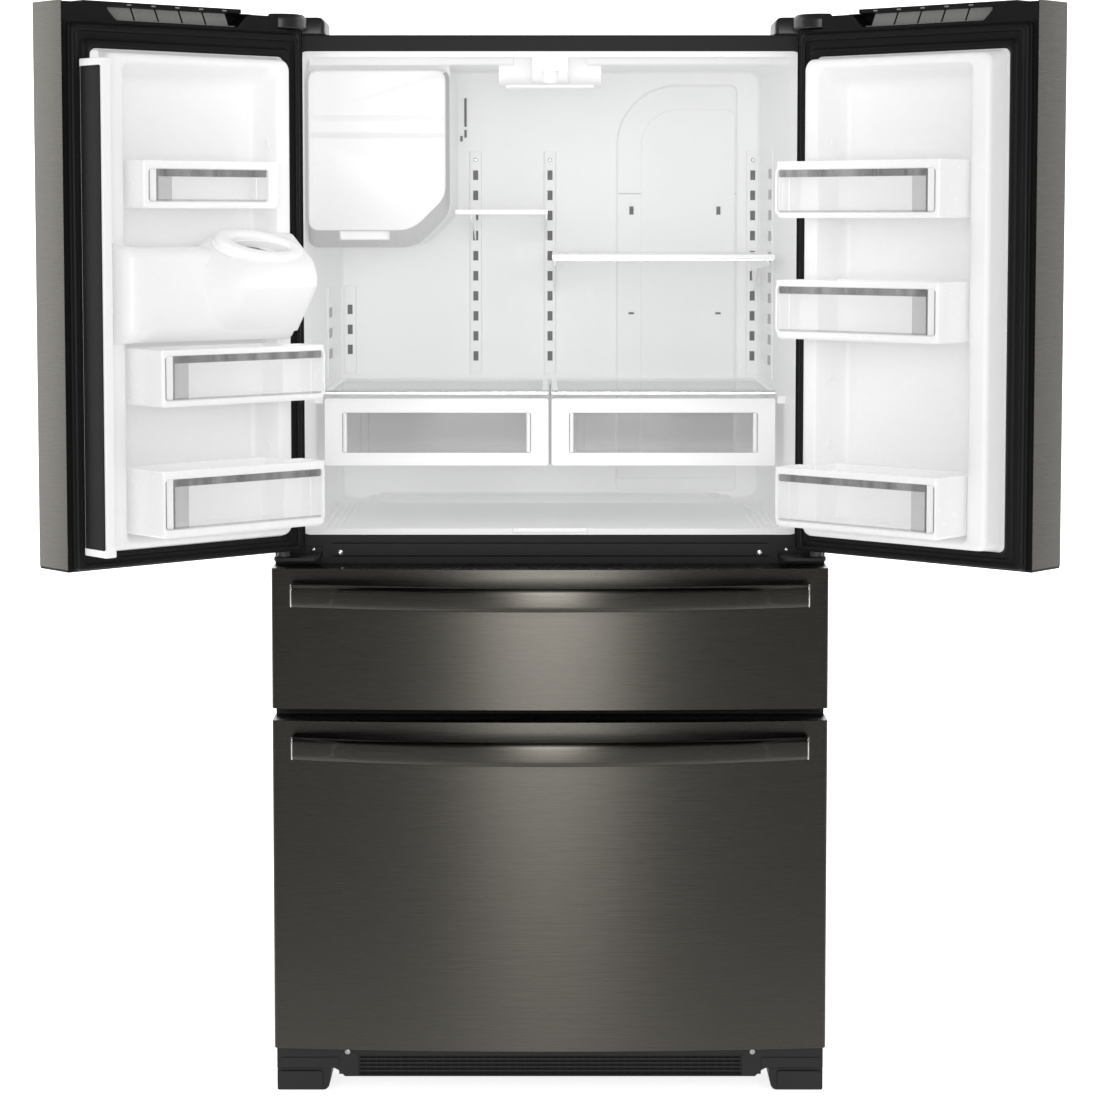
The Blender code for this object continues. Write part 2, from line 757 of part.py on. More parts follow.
def drawer(name, cabinet, front, hole, tub_top):
    """A drawer: its bowed front, inner panel, tub and bar handle."""
    slide = frame_at(f"{name}_slide", (0, 0, 0), cabinet)
    low, high = front

    def outline(inset):
        ends = HALF - inset
        bow = [(x, face_y(x) + inset) for x in spread(-ends + EDGE_ROUND, ends - EDGE_ROUND, 2 * ARC_STEPS)]
        side_y = bow[0][1] + EDGE_ROUND
        return [(-ends, -DOOR_GAP), (-ends, side_y)] + bow + [(ends, side_y), (ends, -DOOR_GAP)]

    whole = upright(outline(0), low, high)
    face = solid(f"{name}_front", slide, BLACK_STEEL, *whole, roughness=0.35, metallic=0.8)
    inner = [(x, y if y < -DOOR_GAP else 0.01) for x, y in outline(SHEET)]
    boolean(face, slide, upright(inner, low + SHEET, high - SHEET))
    edge = SHEET + GAP
    solid(
        f"{name}_panel",
        slide,
        WHITE,
        *block((-HALF + edge, -0.020, low + edge), (HALF - edge, -0.0035, high - edge)),
    )
    clear = 0.012
    solid(
        f"{name}_tub",
        slide,
        WHITE,
        *square_tub(-hole["half"] + clear, hole["half"] - clear, -0.0032, hole["depth"] - 0.02,
                    hole["bottom"] + 0.008, tub_top, 0.003),
    )

    def bar(x):
        return -HANDLE_OUT + HANDLE_RISE * (x / HANDLE_HALF) ** 2

    foot, thick = 0.020, 0.010
    outer = [(x, bar(x)) for x in spread(-HANDLE_HALF, HANDLE_HALF, 2 * ARC_STEPS)]
    inside = [(x, bar(x) + thick) for x in spread(HANDLE_HALF - foot, -HANDLE_HALF + foot, 2 * ARC_STEPS)]
    right_y, right_in = face_y(HANDLE_HALF) - GAP, face_y(HANDLE_HALF - foot) - GAP
    shape = outer + [(HANDLE_HALF, right_y), (HANDLE_HALF - foot, right_in)] + inside
    shape += [(-HANDLE_HALF + foot, right_in), (-HANDLE_HALF, right_y)]
    handle_low = high - 0.022 - HANDLE_HEIGHT
    solid(
        f"{name}_handle",
        slide,
        BLACK_STEEL,
        *upright(shape, handle_low, handle_low + HANDLE_HEIGHT),
        metallic=0.8,
    )
    return slide


def build():
    clear_scene()
    cabinet = frame_at("cabinet", (0, FRONT_Y, 0))
    cabinet_shell(cabinet)
    liner("fridge_liner", cabinet, FRIDGE, FRIDGE["back_half"])
    liner("middle_liner", cabinet, MIDDLE, MIDDLE["half"])
    liner("freezer_liner", cabinet, FREEZER, FREEZER["half"])
    front_frame(cabinet)
    base_grille(cabinet)
    feet(cabinet)
    machine_space(cabinet)
    air_duct_cover(cabinet)
    light_housing(cabinet)
    rails(cabinet)
    shelves(cabinet)
    crispers(cabinet)
    ice_maker(cabinet)
    hinges(cabinet)
    rollers(cabinet)

    left = Door("left_door", -1, cabinet)
    right = Door("right_door", 1, cabinet)
    left_skin = door_skin(left)
    door_skin(right)
    for door in (left, right):
        gasket(door)
        door_handle(door)
    door_liner(left, 0.035, LEDGE)
    door_liner(right, 0.050)
    door_bin(left, "bin_top", 1.457, 1.529, 0.075, 0.100)
    door_bin(left, "bin_middle", 1.157, 1.243, 0.120, 0.048)
    door_bin(left, "bin_bottom", 0.958, 1.060, 0.120, 0.048)
    door_bin(right, "bin_top", 1.442, 1.530, 0.120, 0.048)
    door_bin(right, "bin_middle", 1.253, 1.345, 0.120, 0.048)
    door_bin(right, "bin_bottom", 0.956, 1.050, 0.120, 0.048)
    ice_chute(left)
    dispenser(left, left_skin)
    mullion(left)

    drawer("middle_drawer", cabinet, MIDDLE_FRONT, MIDDLE, 0.840)
    freezer = drawer("freezer_drawer", cabinet, FREEZER_FRONT, FREEZER, 0.500)
    solid(
        "freezer_tray",
        freezer,
        WHITE,
        *square_tub(-0.385, 0.385, 0.010, 0.290, 0.5003, 0.590, 0.003),
    )


build()
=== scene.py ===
import json
import math

import bmesh
import bpy
from mathutils import Matrix, Vector


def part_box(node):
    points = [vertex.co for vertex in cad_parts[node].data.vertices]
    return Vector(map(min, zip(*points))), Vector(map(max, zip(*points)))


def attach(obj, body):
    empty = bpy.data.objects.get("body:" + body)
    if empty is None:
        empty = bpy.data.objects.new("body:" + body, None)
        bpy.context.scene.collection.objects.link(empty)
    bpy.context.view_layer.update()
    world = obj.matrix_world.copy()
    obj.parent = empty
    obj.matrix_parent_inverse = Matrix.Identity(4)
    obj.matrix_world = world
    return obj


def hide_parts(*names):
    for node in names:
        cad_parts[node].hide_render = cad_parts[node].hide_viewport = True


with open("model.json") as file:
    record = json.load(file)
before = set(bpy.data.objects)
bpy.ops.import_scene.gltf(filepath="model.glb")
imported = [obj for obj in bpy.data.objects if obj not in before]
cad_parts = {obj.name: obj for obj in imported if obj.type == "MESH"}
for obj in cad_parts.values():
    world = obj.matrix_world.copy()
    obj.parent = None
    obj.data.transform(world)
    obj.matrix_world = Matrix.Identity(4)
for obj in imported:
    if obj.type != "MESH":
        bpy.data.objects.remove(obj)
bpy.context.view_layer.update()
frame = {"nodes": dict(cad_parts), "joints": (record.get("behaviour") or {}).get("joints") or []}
print("frame loaded")

nodes = frame["nodes"]
joints = {joint["name"]: joint for joint in frame["joints"]}
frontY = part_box("front_frame")[0].y  # everything on the case is counted from this plane
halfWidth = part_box("front_frame")[1].x
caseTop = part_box("front_frame")[1].z


def casePoint(x, y, z):
    return (x, frontY + y, z)


def nodeSpan(node):
    # a node's corners, with y counted from the case's front plane
    low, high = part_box(node)
    return (low.x, low.y - frontY, low.z), (high.x, high.y - frontY, high.z)


def loft(rings, closed=False):
    # faces between rings of points; with closed, the last ring joins the first and there are no end caps
    count = len(rings[0])
    points = [p for ring in rings for p in ring]
    faces = []
    if not closed:
        faces.append(list(range(count)))
        faces.append([(len(rings) - 1) * count + i for i in range(count)])
    levels = len(rings) if closed else len(rings) - 1
    for level in range(levels):
        a = level * count
        b = ((level + 1) % len(rings)) * count
        for i in range(count):
            j = (i + 1) % count
            faces.append([a + i, a + j, b + j, b + i])
    return points, faces


def prism(axis, outline, start, end):
    # outline holds (y, z), (x, z) or (x, y) pairs for the axes x, y and z
    def place(p, along):
        if axis == "x":
            return (along, p[0], p[1])
        if axis == "y":
            return (p[0], along, p[1])
        return (p[0], p[1], along)

    return loft([[place(p, along) for p in outline] for along in (start, end)])

def atHeight(outline, z):
    return [(x, y, z) for x, y in outline]


def atDepth(outline, y):
    return [(x, y, z) for x, z in outline]


def atSide(outline, x):
    return [(x, y, z) for y, z in outline]


def asGiven(x, y, z):
    return (x, y, z)


def sideWallX(y):
    # the fridge liner's side walls lean in towards the back
    return 0.413 - 0.0255 * y / 0.6


def slab(low, high):
    return prism("z", [(low[0], low[1]), (high[0], low[1]), (high[0], high[1]), (low[0], high[1])], low[2],
                 high[2])


def together(shapes):
    points, faces = [], []
    for somePoints, someFaces in shapes:
        start = len(points)
        points += somePoints
        faces += [[start + i for i in face] for face in someFaces]
    return points, faces


def roundRect(left, right, low, high, radius, steps=6):
    corners = ((right, high, 0), (left, high, 90), (left, low, 180), (right, low, 270))
    points = []
    for x, z, start in corners:
        cx = x - radius if x == right else x + radius
        cz = z - radius if z == high else z + radius
        for i in range(steps + 1):
            angle = math.radians(start + 90 * i / steps)
            points.append((cx + radius * math.cos(angle), cz + radius * math.sin(angle)))
    return points


def softCorners(outline, radii, steps=5):
    # rounds each corner of an outline by its own radius
    points = []
    count = len(outline)
    for i in range(count):
        here = Vector(outline[i])
        before = Vector(outline[i - 1]) - here
        after = Vector(outline[(i + 1) % count]) - here
        radius = radii[i] if isinstance(radii, (list, tuple)) else radii
        reach = min(radius, before.length * 0.48, after.length * 0.48)
        if reach < 1e-5:
            points.append(tuple(here))
            continue
        a = here + before.normalized() * reach
        b = here + after.normalized() * reach
        for k in range(steps + 1):
            t = k / steps
            points.append(tuple(a * (1 - t) ** 2 + here * (2 * t * (1 - t)) + b * t * t))
    return points


def spread(start, end, steps):
    return [start + (end - start) * i / steps for i in range(steps + 1)]


def disc(cx, cy, radius, steps=24):
    return [(cx + radius * math.cos(2 * math.pi * i / steps), cy + radius * math.sin(2 * math.pi * i / steps))
            for i in range(steps)]


def rawMesh(name, shape, place):
    points, faces = shape
    mesh = bpy.data.meshes.new(name)
    mesh.from_pydata([tuple(place(*p)) for p in points], [], faces)
    work = bmesh.new()
    work.from_mesh(mesh)
    bmesh.ops.remove_doubles(work, verts=work.verts, dist=1e-6)
    bmesh.ops.recalc_face_normals(work, faces=work.faces)
    work.to_mesh(mesh)
    work.free()
    found = bpy.data.objects.new(name, mesh)
    bpy.context.scene.collection.objects.link(found)
    return found


def piece(name, shape, look, body, place=casePoint, soft=0.0, cuts=(), segments=2, replaces=(), slot=None,
          sheet=0.0, angle=30):
    made = rawMesh(name, shape, place)
    made.data.materials.append(look)
    if sheet:
        thick = made.modifiers.new("sheet", "SOLIDIFY")
        thick.thickness = sheet
        thick.offset = 0
    for cut in cuts:
        tool = rawMesh(name + "Cut", cut, place)
        carve = made.modifiers.new("cut", "BOOLEAN")
        carve.operation = "DIFFERENCE"
        carve.solver = "EXACT"
        carve.object = tool
    if cuts or sheet:
        settle(made)
    if soft:
        bevel = made.modifiers.new("soft", "BEVEL")
        bevel.width = soft
        bevel.segments = segments
        bevel.limit_method = "ANGLE"
        bevel.angle_limit = math.radians(angle)
        bevel.harden_normals = True
    made.data.shade_smooth()
    if not soft:
        made.data.set_sharp_from_angle(angle=math.radians(angle))
    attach(made, body)
    if replaces:
        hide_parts(*replaces)
    slot = slot or usualSlots.get(look.name)
    return made


def settle(made):
    # applies the modifiers so far and removes their cutters
    graph = bpy.context.evaluated_depsgraph_get()
    final = bpy.data.meshes.new_from_object(made.evaluated_get(graph))
    tools = [m.object for m in made.modifiers if m.type == "BOOLEAN"]
    made.modifiers.clear()
    old = made.data
    made.data = final
    final.name = made.name
    bpy.data.meshes.remove(old)
    for tool in tools:
        bpy.data.objects.remove(tool, do_unlink=True)


def finish(name, color, rough, metal=0.0, grain=(1, 1, 1), scale=60, mottle=0.03, roughVary=0.04, bump=0.1,
           depth=0.0003, cloud=0.0, detail=4, **sockets):
    made = bpy.data.materials.new(name)
    made.use_nodes = True
    tree = made.node_tree
    shader = tree.nodes["Principled BSDF"]
    shader.inputs["Metallic"].default_value = metal
    for socket, value in sockets.items():
        shader.inputs[socket.replace("_", " ")].default_value = value
    place = tree.nodes.new("ShaderNodeTexCoord")
    stretch = tree.nodes.new("ShaderNodeMapping")
    stretch.inputs["Scale"].default_value = grain
    tree.links.new(place.outputs["Object"], stretch.inputs["Vector"])
    noise = tree.nodes.new("ShaderNodeTexNoise")
    noise.inputs["Scale"].default_value = scale
    noise.inputs["Detail"].default_value = detail
    tree.links.new(stretch.outputs["Vector"], noise.inputs["Vector"])
    source = noise.outputs["Fac"]
    if cloud:  # a broad soft change of tone under the fine grain
        broad = tree.nodes.new("ShaderNodeTexNoise")
        broad.inputs["Scale"].default_value = 2.2
        broad.inputs["Detail"].default_value = 1
        tree.links.new(place.outputs["Object"], broad.inputs["Vector"])
        blend = tree.nodes.new("ShaderNodeMath")
        blend.operation = "MULTIPLY_ADD"
        blend.inputs[1].default_value = cloud
        tree.links.new(broad.outputs["Fac"], blend.inputs[0])
        tree.links.new(noise.outputs["Fac"], blend.inputs[2])
        source = blend.outputs["Value"]
    tone = tree.nodes.new("ShaderNodeValToRGB")
    tone.color_ramp.elements[0].position = 0.3
    tone.color_ramp.elements[1].position = 0.75
    tone.color_ramp.elements[0].color = (*[c * (1 - mottle) for c in color], 1)
    tone.color_ramp.elements[1].color = (*[min(1, c * (1 + mottle)) for c in color], 1)
    tree.links.new(source, tone.inputs["Fac"])
    tree.links.new(tone.outputs["Color"], shader.inputs["Base Color"])
    gloss = tree.nodes.new("ShaderNodeMapRange")
    gloss.inputs["From Min"].default_value = 0.3
    gloss.inputs["From Max"].default_value = 0.7
    gloss.inputs["To Min"].default_value = max(0.02, rough - roughVary)
    gloss.inputs["To Max"].default_value = min(1, rough + roughVary)
    tree.links.new(noise.outputs["Fac"], gloss.inputs["Value"])
    tree.links.new(gloss.outputs["Result"], shader.inputs["Roughness"])
    relief = tree.nodes.new("ShaderNodeBump")
    relief.inputs["Strength"].default_value = bump
    relief.inputs["Distance"].default_value = depth
    tree.links.new(noise.outputs["Fac"], relief.inputs["Height"])
    tree.links.new(relief.outputs["Normal"], shader.inputs["Normal"])
    return made


brushed = (1.2, 1.2, 190)
steel = finish("blackStainless", (0.064, 0.060, 0.053), 0.27, 1.0, brushed, 14.0, 0.05, 0.03, 0.05, 0.0002,
               0.08)
handleSteel = finish("handleStainless", (0.075, 0.070, 0.062), 0.28, 1.0, brushed, 9.0, 0.10, 0.04, 0.08,
                     0.0002)
chrome = finish("endChrome", (0.72, 0.72, 0.72), 0.14, 1.0, (1, 1, 1), 120, 0.02, 0.03, 0.02)


def brush(look, amount=0.8):
    # draws reflections out across the grain, which runs level
    tree = look.node_tree
    shader = tree.nodes["Principled BSDF"]
    shader.inputs["Anisotropic"].default_value = amount
    shader.inputs["Anisotropic Rotation"].default_value = 0.25
    along = tree.nodes.new("ShaderNodeTangent")
    along.direction_type = "RADIAL"
    along.axis = "Z"
    tree.links.new(along.outputs["Tangent"], shader.inputs["Tangent"])


brush(steel)
brush(handleSteel)
frameBlack = finish("frameBlack", (0.013, 0.013, 0.0135), 0.52, 0.0, (1, 1, 1), 320, 0.10, 0.05, 0.10,
                    0.0002, Specular_IOR_Level=0.25)
trimBlack = finish("trimBlack", (0.011, 0.011, 0.0115), 0.52, 0.0, (1, 1, 1), 420, 0.12, 0.06, 0.16, 0.0002,
                   Specular_IOR_Level=0.28)
capBlack = finish("capBlack", (0.008, 0.008, 0.0085), 0.50, 0.0, (1, 1, 1), 380, 0.10, 0.06, 0.12, 0.0002,
                  Specular_IOR_Level=0.16)
# grey for the black cap's rib faces: painted sheen
ribSheenGrey = finish("ribSheenGrey", (0.24, 0.24, 0.23), 0.55, 0.0, (1, 1, 1), 200, 0.06, 0.05, 0.08)
hingeBlack = finish("hingeCoverBlack", (0.020, 0.020, 0.021), 0.34, 0.0, (1, 1, 1), 420, 0.12, 0.06, 0.12,
                    0.0002)
caseGrey = finish("casePaint", (0.045, 0.045, 0.047), 0.48, 0.0, (1, 1, 1), 260, 0.12, 0.06, 0.45, 0.0004)
zinc = finish("zincPlate", (0.42, 0.42, 0.43), 0.42, 1.0, (1, 1, 1), 34, 0.16, 0.08, 0.05)
# white plastics with a faint emission: a painted glow that lifts them beyond the lamps' light
white = finish("glowingLinerWhite", (0.80, 0.80, 0.80), 0.38, 0.0, (1, 1, 1), 90, 0.010, 0.05, 0.035, 0.0003,
               Emission_Color=(1, 1, 1, 1), Emission_Strength=0.11)
# the fridge's own liner, with a stronger painted glow standing in for the light its lamp fills it with
litWhite = finish("litLiner", (0.80, 0.80, 0.80), 0.38, 0.0, (1, 1, 1), 90, 0.010, 0.05, 0.035, 0.0003,
                  Emission_Color=(1, 1, 1, 1), Emission_Strength=0.14)
# white bins, shelves and trims with a faint emission: a painted glow
glowingBinWhite = finish("glowingBinWhite", (0.82, 0.82, 0.82), 0.24, 0.0, (1, 1, 1), 120, 0.010, 0.04, 0.03, 0.0002,
                  Emission_Color=(1, 1, 1, 1), Emission_Strength=0.12)
# mid grey laid on white plastic parts where shade falls: painted shade
shade = finish("paintedShadeGrey", (0.52, 0.52, 0.525), 0.42, 0.0, (1, 1, 1), 90, 0.03, 0.05, 0.05)
# dark grey: the display's own colour, and painted shade in slots, openings and the chute's mouth
shadeAndScreenGrey = finish("shadeAndScreenGrey", (0.20, 0.20, 0.205), 0.55, 0.0, (1, 1, 1), 150, 0.10, 0.05, 0.05)
rubber = finish("gasketRubber", (0.009, 0.009, 0.0095), 0.46, 0.0, (1, 1, 1), 240, 0.10, 0.07, 0.12, 0.0003,
                Specular_IOR_Level=0.14)
clear = finish("clearPlastic", (0.90, 0.90, 0.90), 0.07, 0.0, (1, 1, 1), 40, 0.02, 0.03, 0.02, Alpha=0.07)
# dark and half-clear greys for the bins' window edges: painted reflection
edgeReflectionGrey = finish("paintedReflectionEdge", (0.20, 0.20, 0.205), 0.10, 0.0, (9, 9, 1), 5, 0.75, 0.04, 0.02, Alpha=0.80)
thickReflectionGrey = finish("paintedReflectionThick", (0.30, 0.30, 0.305), 0.10, 0.0, (9, 9, 1), 9, 0.30, 0.04, 0.02, Alpha=0.28)
glass = finish("shelfGlass", (0.72, 0.80, 0.78), 0.05, 0.0, (1, 1, 1), 30, 0.02, 0.02, 0.01, Alpha=0.28)
silver = finish("silverTrim", (0.62, 0.63, 0.64), 0.26, 0.9, (2, 2, 120), 6, 0.06, 0.05, 0.04)
gloss = finish("dispenserGloss", (0.012, 0.012, 0.013), 0.10, 0.0, (1, 1, 1), 60, 0.10, 0.03, 0.02,
               Coat_Weight=0.5)
enamel = finish("compressorEnamel", (0.016, 0.016, 0.017), 0.30, 0.0, (1, 1, 1), 90, 0.15, 0.06, 0.08)
nylon = finish("rollerNylon", (0.10, 0.10, 0.10), 0.50, 0.0, (1, 1, 1), 160, 0.10, 0.05, 0.10)
lamp = finish("lampDiffuser", (0.93, 0.93, 0.93), 0.40, 0.0, (1, 1, 1), 80, 0.01, 0.04, 0.03,
              Emission_Color=(1, 1, 1, 1), Emission_Strength=0.12)
# the material slot that goes with each finish unless a piece names another
usualSlots = {
    "casePaint": "cabinet_grey",
    "zincPlate": "hinge_steel",
    "frameBlack": "frame_black",
    "litLiner": "liner_white",
    "shadeAndScreenGrey": "trim_black",
    "paintedShadeGrey": "liner_white",
    "glowingLinerWhite": "liner_white",
    "lampDiffuser": "liner_white",
    "shelfGlass": "shelf_glass",
    "glowingBinWhite": "shelf_trim",
    "silverTrim": "hinge_steel",
    "blackStainless": "black_stainless",
    "capBlack": "trim_black",
    "trimBlack": "trim_black",
    "gasketRubber": "gasket_black",
    "clearPlastic": "bin_clear",
    "paintedReflectionEdge": "bin_clear",
    "paintedReflectionThick": "bin_clear",
    "handleStainless": "handle_stainless",
    "dispenserGloss": "dispenser_black",
    "rollerNylon": "trim_black",
    "compressorEnamel": "compressor_black",
    "ribSheenGrey": "trim_black",
    "endChrome": "handle_stainless",
    "hingeCoverBlack": "trim_black",
}
print("finishes made")


case = {"edge": 0.005, "sheet": 0.0015}


def makeCase():
    low, high = nodeSpan("cabinet_shell")
    edge = case["edge"]
    outer = roundRect(low[0], high[0], low[2], high[2], edge, 4)
    wall = case["sheet"]
    inner = roundRect(low[0] + wall, high[0] - wall, low[2] + wall, high[2] - wall, edge - wall, 4)
    rings = [
        atDepth(inner, high[1] - wall),
        atDepth(inner, low[1]),
        atDepth(outer, low[1]),
        atDepth(outer, high[1] - 0.003),
        [(x * 0.9945, high[1], (z - 0.9) * 0.996 + 0.9) for x, z in outer],
    ]
    opening = slab((-0.395, high[1] - 0.03, 0.078), (0.395, high[1] + 0.03, 0.240))
    piece("caseWrap", loft(rings), caseGrey, "cabinet", cuts=[opening], replaces=["cabinet_shell"])
    # pressed panel on the back, with its screws
    top, bottom = 1.700, 0.285
    panel = roundRect(-0.425, 0.425, bottom, top, 0.03)
    inset = roundRect(-0.418, 0.418, bottom + 0.007, top - 0.007, 0.026)
    y = high[1]
    piece("backPanel", loft([atDepth(panel, y - 0.0005), atDepth(inset, y + 0.0022)]), caseGrey, "cabinet")
    for i, x in enumerate((-0.30, -0.10, 0.10, 0.30)):
        rib = roundRect(x - 0.030, x + 0.030, 0.42, 1.58, 0.028)
        crest = roundRect(x - 0.024, x + 0.024, 0.426, 1.574, 0.022)
        piece(f"backRib{i}", loft([atDepth(rib, y + 0.0015), atDepth(crest, y + 0.0052)]),
              caseGrey, "cabinet")
    for i, x in enumerate((-0.435, 0.435)):
        for k, z in enumerate(spread(0.30, 1.68, 4)):
            screwHead(f"backScrew{i}{k}", x, y + 0.0012, z, "cabinet", outward=1)
    piece("waterInlet", prism("y", disc(-0.36, 0.275, 0.013, 24), high[1] - 0.002, high[1] + 0.016), zinc,
          "cabinet", soft=0.002)


def screwHead(name, x, y, z, body, outward=-1, radius=0.0048, place=casePoint, look=None):
    # pan head with a cross recess, its axis along y
    rings = []
    for out, r in ((0.0, radius), (0.0010, radius), (0.0022, radius * 0.78), (0.0027, radius * 0.35)):
        rings.append(atDepth(disc(x, z, r, 18), y + outward * out))
    arm, thin = radius * 0.52, radius * 0.13
    crossCuts = [slab((x - arm, y + min(outward * 0.0012, outward * 0.004), z - thin),
                      (x + arm, y + max(outward * 0.0012, outward * 0.004), z + thin)),
                 slab((x - thin, y + min(outward * 0.0012, outward * 0.004), z - arm),
                      (x + thin, y + max(outward * 0.0012, outward * 0.004), z + arm))]
    return piece(name, loft(rings), look or chrome, body, place, cuts=crossCuts, slot="hinge_steel")


def makeFrontFrame():
    low, high = nodeSpan("front_frame")
    holes = []
    for node in ("fridge_liner", "middle_liner", "freezer_liner"):
        a, b = nodeSpan(node)
        holes.append(prism("y", roundRect(a[0] + 0.003, b[0] - 0.003, a[2] + 0.003, b[2] - 0.003, 0.018),
                           -0.02, 0.02))
    piece("frontFrame", slab(low, high), frameBlack, "cabinet", cuts=[together(holes)], soft=0.0009,
          replaces=["front_frame"])
    # pressed step along the cross band, its two screws and the top strip's lip
    band = 0.897
    piece("crossBandStep", prism("x", softCorners([(-0.0002, band - 0.012), (-0.0030, band - 0.010),
          (-0.0030, band + 0.010), (-0.0002, band + 0.012)], 0.001), -0.36, 0.36), frameBlack, "cabinet")
    for side in (-1, 1):
        screwHead(f"bandScrew{side + 1}", side * 0.3455, -0.0030, 0.8925, "cabinet")
    piece("topStripLip", prism("x", softCorners([(-0.0002, caseTop - 0.0035), (-0.0016, caseTop - 0.0030),
                                                 (-0.0016, caseTop - 0.0006), (-0.0002, caseTop - 0.0001)],
                                                0.0006), -0.40, 0.40), frameBlack, "cabinet")


liner = {"corner": 0.020, "cove": 0.007, "lip": 0.0105}


def linerRings(low, high, backHalf, wall, corner):
    front = roundRect(low[0] + wall, high[0] - wall, low[2] + wall, high[2] - wall, corner, 7)
    back = roundRect(-backHalf, backHalf, low[2] + wall, high[2] - wall, corner, 7)

    def pulled(ring, by):
        midX, midZ = 0.0, (low[2] + high[2]) / 2
        return [(x - math.copysign(by, x - midX), z - math.copysign(by, z - midZ)) for x, z in ring]

    depth = high[1] - wall
    cove = liner["cove"]
    rings = [atDepth(pulled(back, cove), depth)]
    for i in range(1, 7):
        turn = math.pi / 2 * i / 6
        inset, y = cove * (1 - math.sin(turn)), depth - cove * (1 - math.cos(turn))
        rings.append(atDepth(pulled(back, inset), y))
    rings.append(atDepth(front, low[1]))
    rings.append([(x + math.copysign(wall, x), low[1], z + math.copysign(wall, z - (low[2] + high[2]) / 2))
                  for x, z in front])
    rings.append([(x + math.copysign(wall, x), high[1], z + math.copysign(wall, z - (low[2] + high[2]) / 2))
                  for x, z in back])
    return loft(rings)


def makeLiners():
    low, high = nodeSpan("fridge_liner")
    piece("fridgeLiner", linerRings(low, high, 0.3875, 0.003, liner["corner"]), litWhite, "cabinet",
          replaces=["fridge_liner"], angle=50)
    for name, node in (("middleLiner", "middle_liner"), ("freezerLiner", "freezer_liner")):
        low2, high2 = nodeSpan(node)
        piece(name, linerRings(low2, high2, high2[0] - 0.003, 0.003, liner["corner"]), litWhite, "cabinet",
              replaces=[node], angle=50)
    floor, depth, top = low[2] + 0.003, high[1] - 0.003, high[2] - 0.003
    # white lip along the front of the floor
    lipTop = floor + liner["lip"]
    profile = softCorners([(0.001, floor - 0.001), (0.001, lipTop), (0.020, lipTop), (0.034, floor + 0.0012),
                           (0.034, floor - 0.001)], [0.001, 0.004, 0.006, 0.006, 0.001])
    relief = slab((-0.062, -0.01, lipTop - 0.0075), (0.062, 0.022, lipTop + 0.01))
    piece("floorLip", prism("x", profile, -0.405, 0.405), litWhite, "cabinet", cuts=[relief], soft=0.0015)
    # raised ledge at the back of the floor, open towards the duct
    ledge = [(-0.30, depth - 0.075), (0.30, depth - 0.075), (0.345, depth - 0.012), (-0.345, depth - 0.012)]
    upper = [(x * 0.985, y + 0.006) for x, y in ledge]
    piece("floorLedge", loft([atHeight(softCorners(ledge, 0.02), floor + 0.0002),
                              atHeight(softCorners(upper, 0.02), floor + 0.009)]),
          litWhite, "cabinet", soft=0.003)
    inner = [(x * 0.94, y + 0.010) for x, y in ledge[:2]] + [(x * 0.94, y - 0.004) for x, y in ledge[2:]]
    piece("floorLedgeStep", loft([atHeight(softCorners(inner, 0.02), floor + 0.008),
                                  [(x * 0.99, y + 0.003, floor + 0.013)
                                   for x, y in softCorners(inner, 0.02)]]), litWhite, "cabinet", soft=0.002)
    # moulded runners on the floor at each side
    for side in (-1, 1):
        for k in range(4):
            x = side * (0.346 + 0.0115 * k)
            run = softCorners([(x - 0.0035, floor + 0.0002), (x - 0.0022, floor + 0.0042),
                               (x + 0.0022, floor + 0.0042), (x + 0.0035, floor + 0.0002)], 0.0015, 3)
            piece(f"floorRunner{side + 1}{k}", prism("y", run, 0.075, 0.490), litWhite, "cabinet", soft=0.001)
    # step along the ceiling at the front
    ceiling = softCorners([(0.001, top + 0.001), (0.001, top - 0.009), (0.030, top - 0.0085),
                           (0.044, top - 0.020), (0.060, top - 0.020), (0.075, top + 0.001)], 0.006)
    for side in (-1, 1):
        ends = sorted((side * 0.060, side * 0.395))
        piece(f"ceilingStep{side + 1}", prism("x", ceiling, *ends), litWhite, "cabinet", soft=0.002)
    piece("ceilingFront", prism("x", softCorners([(0.001, top + 0.001), (0.001, top - 0.0095),
                                                  (0.016, top - 0.0085), (0.020, top + 0.001)], 0.002),
                                -0.402, 0.402), litWhite, "cabinet")
    # long supports moulded in the side walls, for the crisper cover
    for side in (-1, 1):
        outline = []
        for y in (0.215, 0.560):
            outline.append((side * (sideWallX(y) + 0.001), y))
        outline += [(side * (0.3876), 0.560), (side * 0.3905, 0.215)]
        piece(f"sideSupport{side + 1}", prism("z", outline, 1.124, 1.1375), litWhite, "cabinet", soft=0.002)


rail = {"pitch": 0.0370, "slotHalf": 0.0046, "slotHigh": 0.0175, "first": 0.044}


def makeRail(name, x, backY, low, high, replaces=(), screw=True, half=0.012):
    front = backY - 0.0062
    section = softCorners([(x - half, backY), (x - half + 0.0015, front), (x + half - 0.0015, front),
                           (x + half, backY)], 0.0012, 3)
    slots = []
    z = high - rail["first"]
    while z > low + 0.012:
        slots.append(slab((x - rail["slotHalf"], front - 0.01, z - rail["slotHigh"] / 2),
                          (x + rail["slotHalf"], front + 0.0045, z + rail["slotHigh"] / 2)))
        z -= rail["pitch"]
    piece(name, prism("z", section, low, high), litWhite, "cabinet", cuts=[together(slots)], soft=0.0005,
          replaces=list(replaces))
    # dark strip behind the slots: the part behind them, its grey partly painted shade in the slots
    bed = slab((x - 0.0058, front + 0.0040, low + 0.004), (x + 0.0058, front + 0.0046, high - 0.030))
    piece(name + "Bed", bed, shadeAndScreenGrey, "cabinet")
    if screw:
        screwHead(name + "Screw", x, front, high - 0.016, "cabinet", radius=0.0036, look=silver)


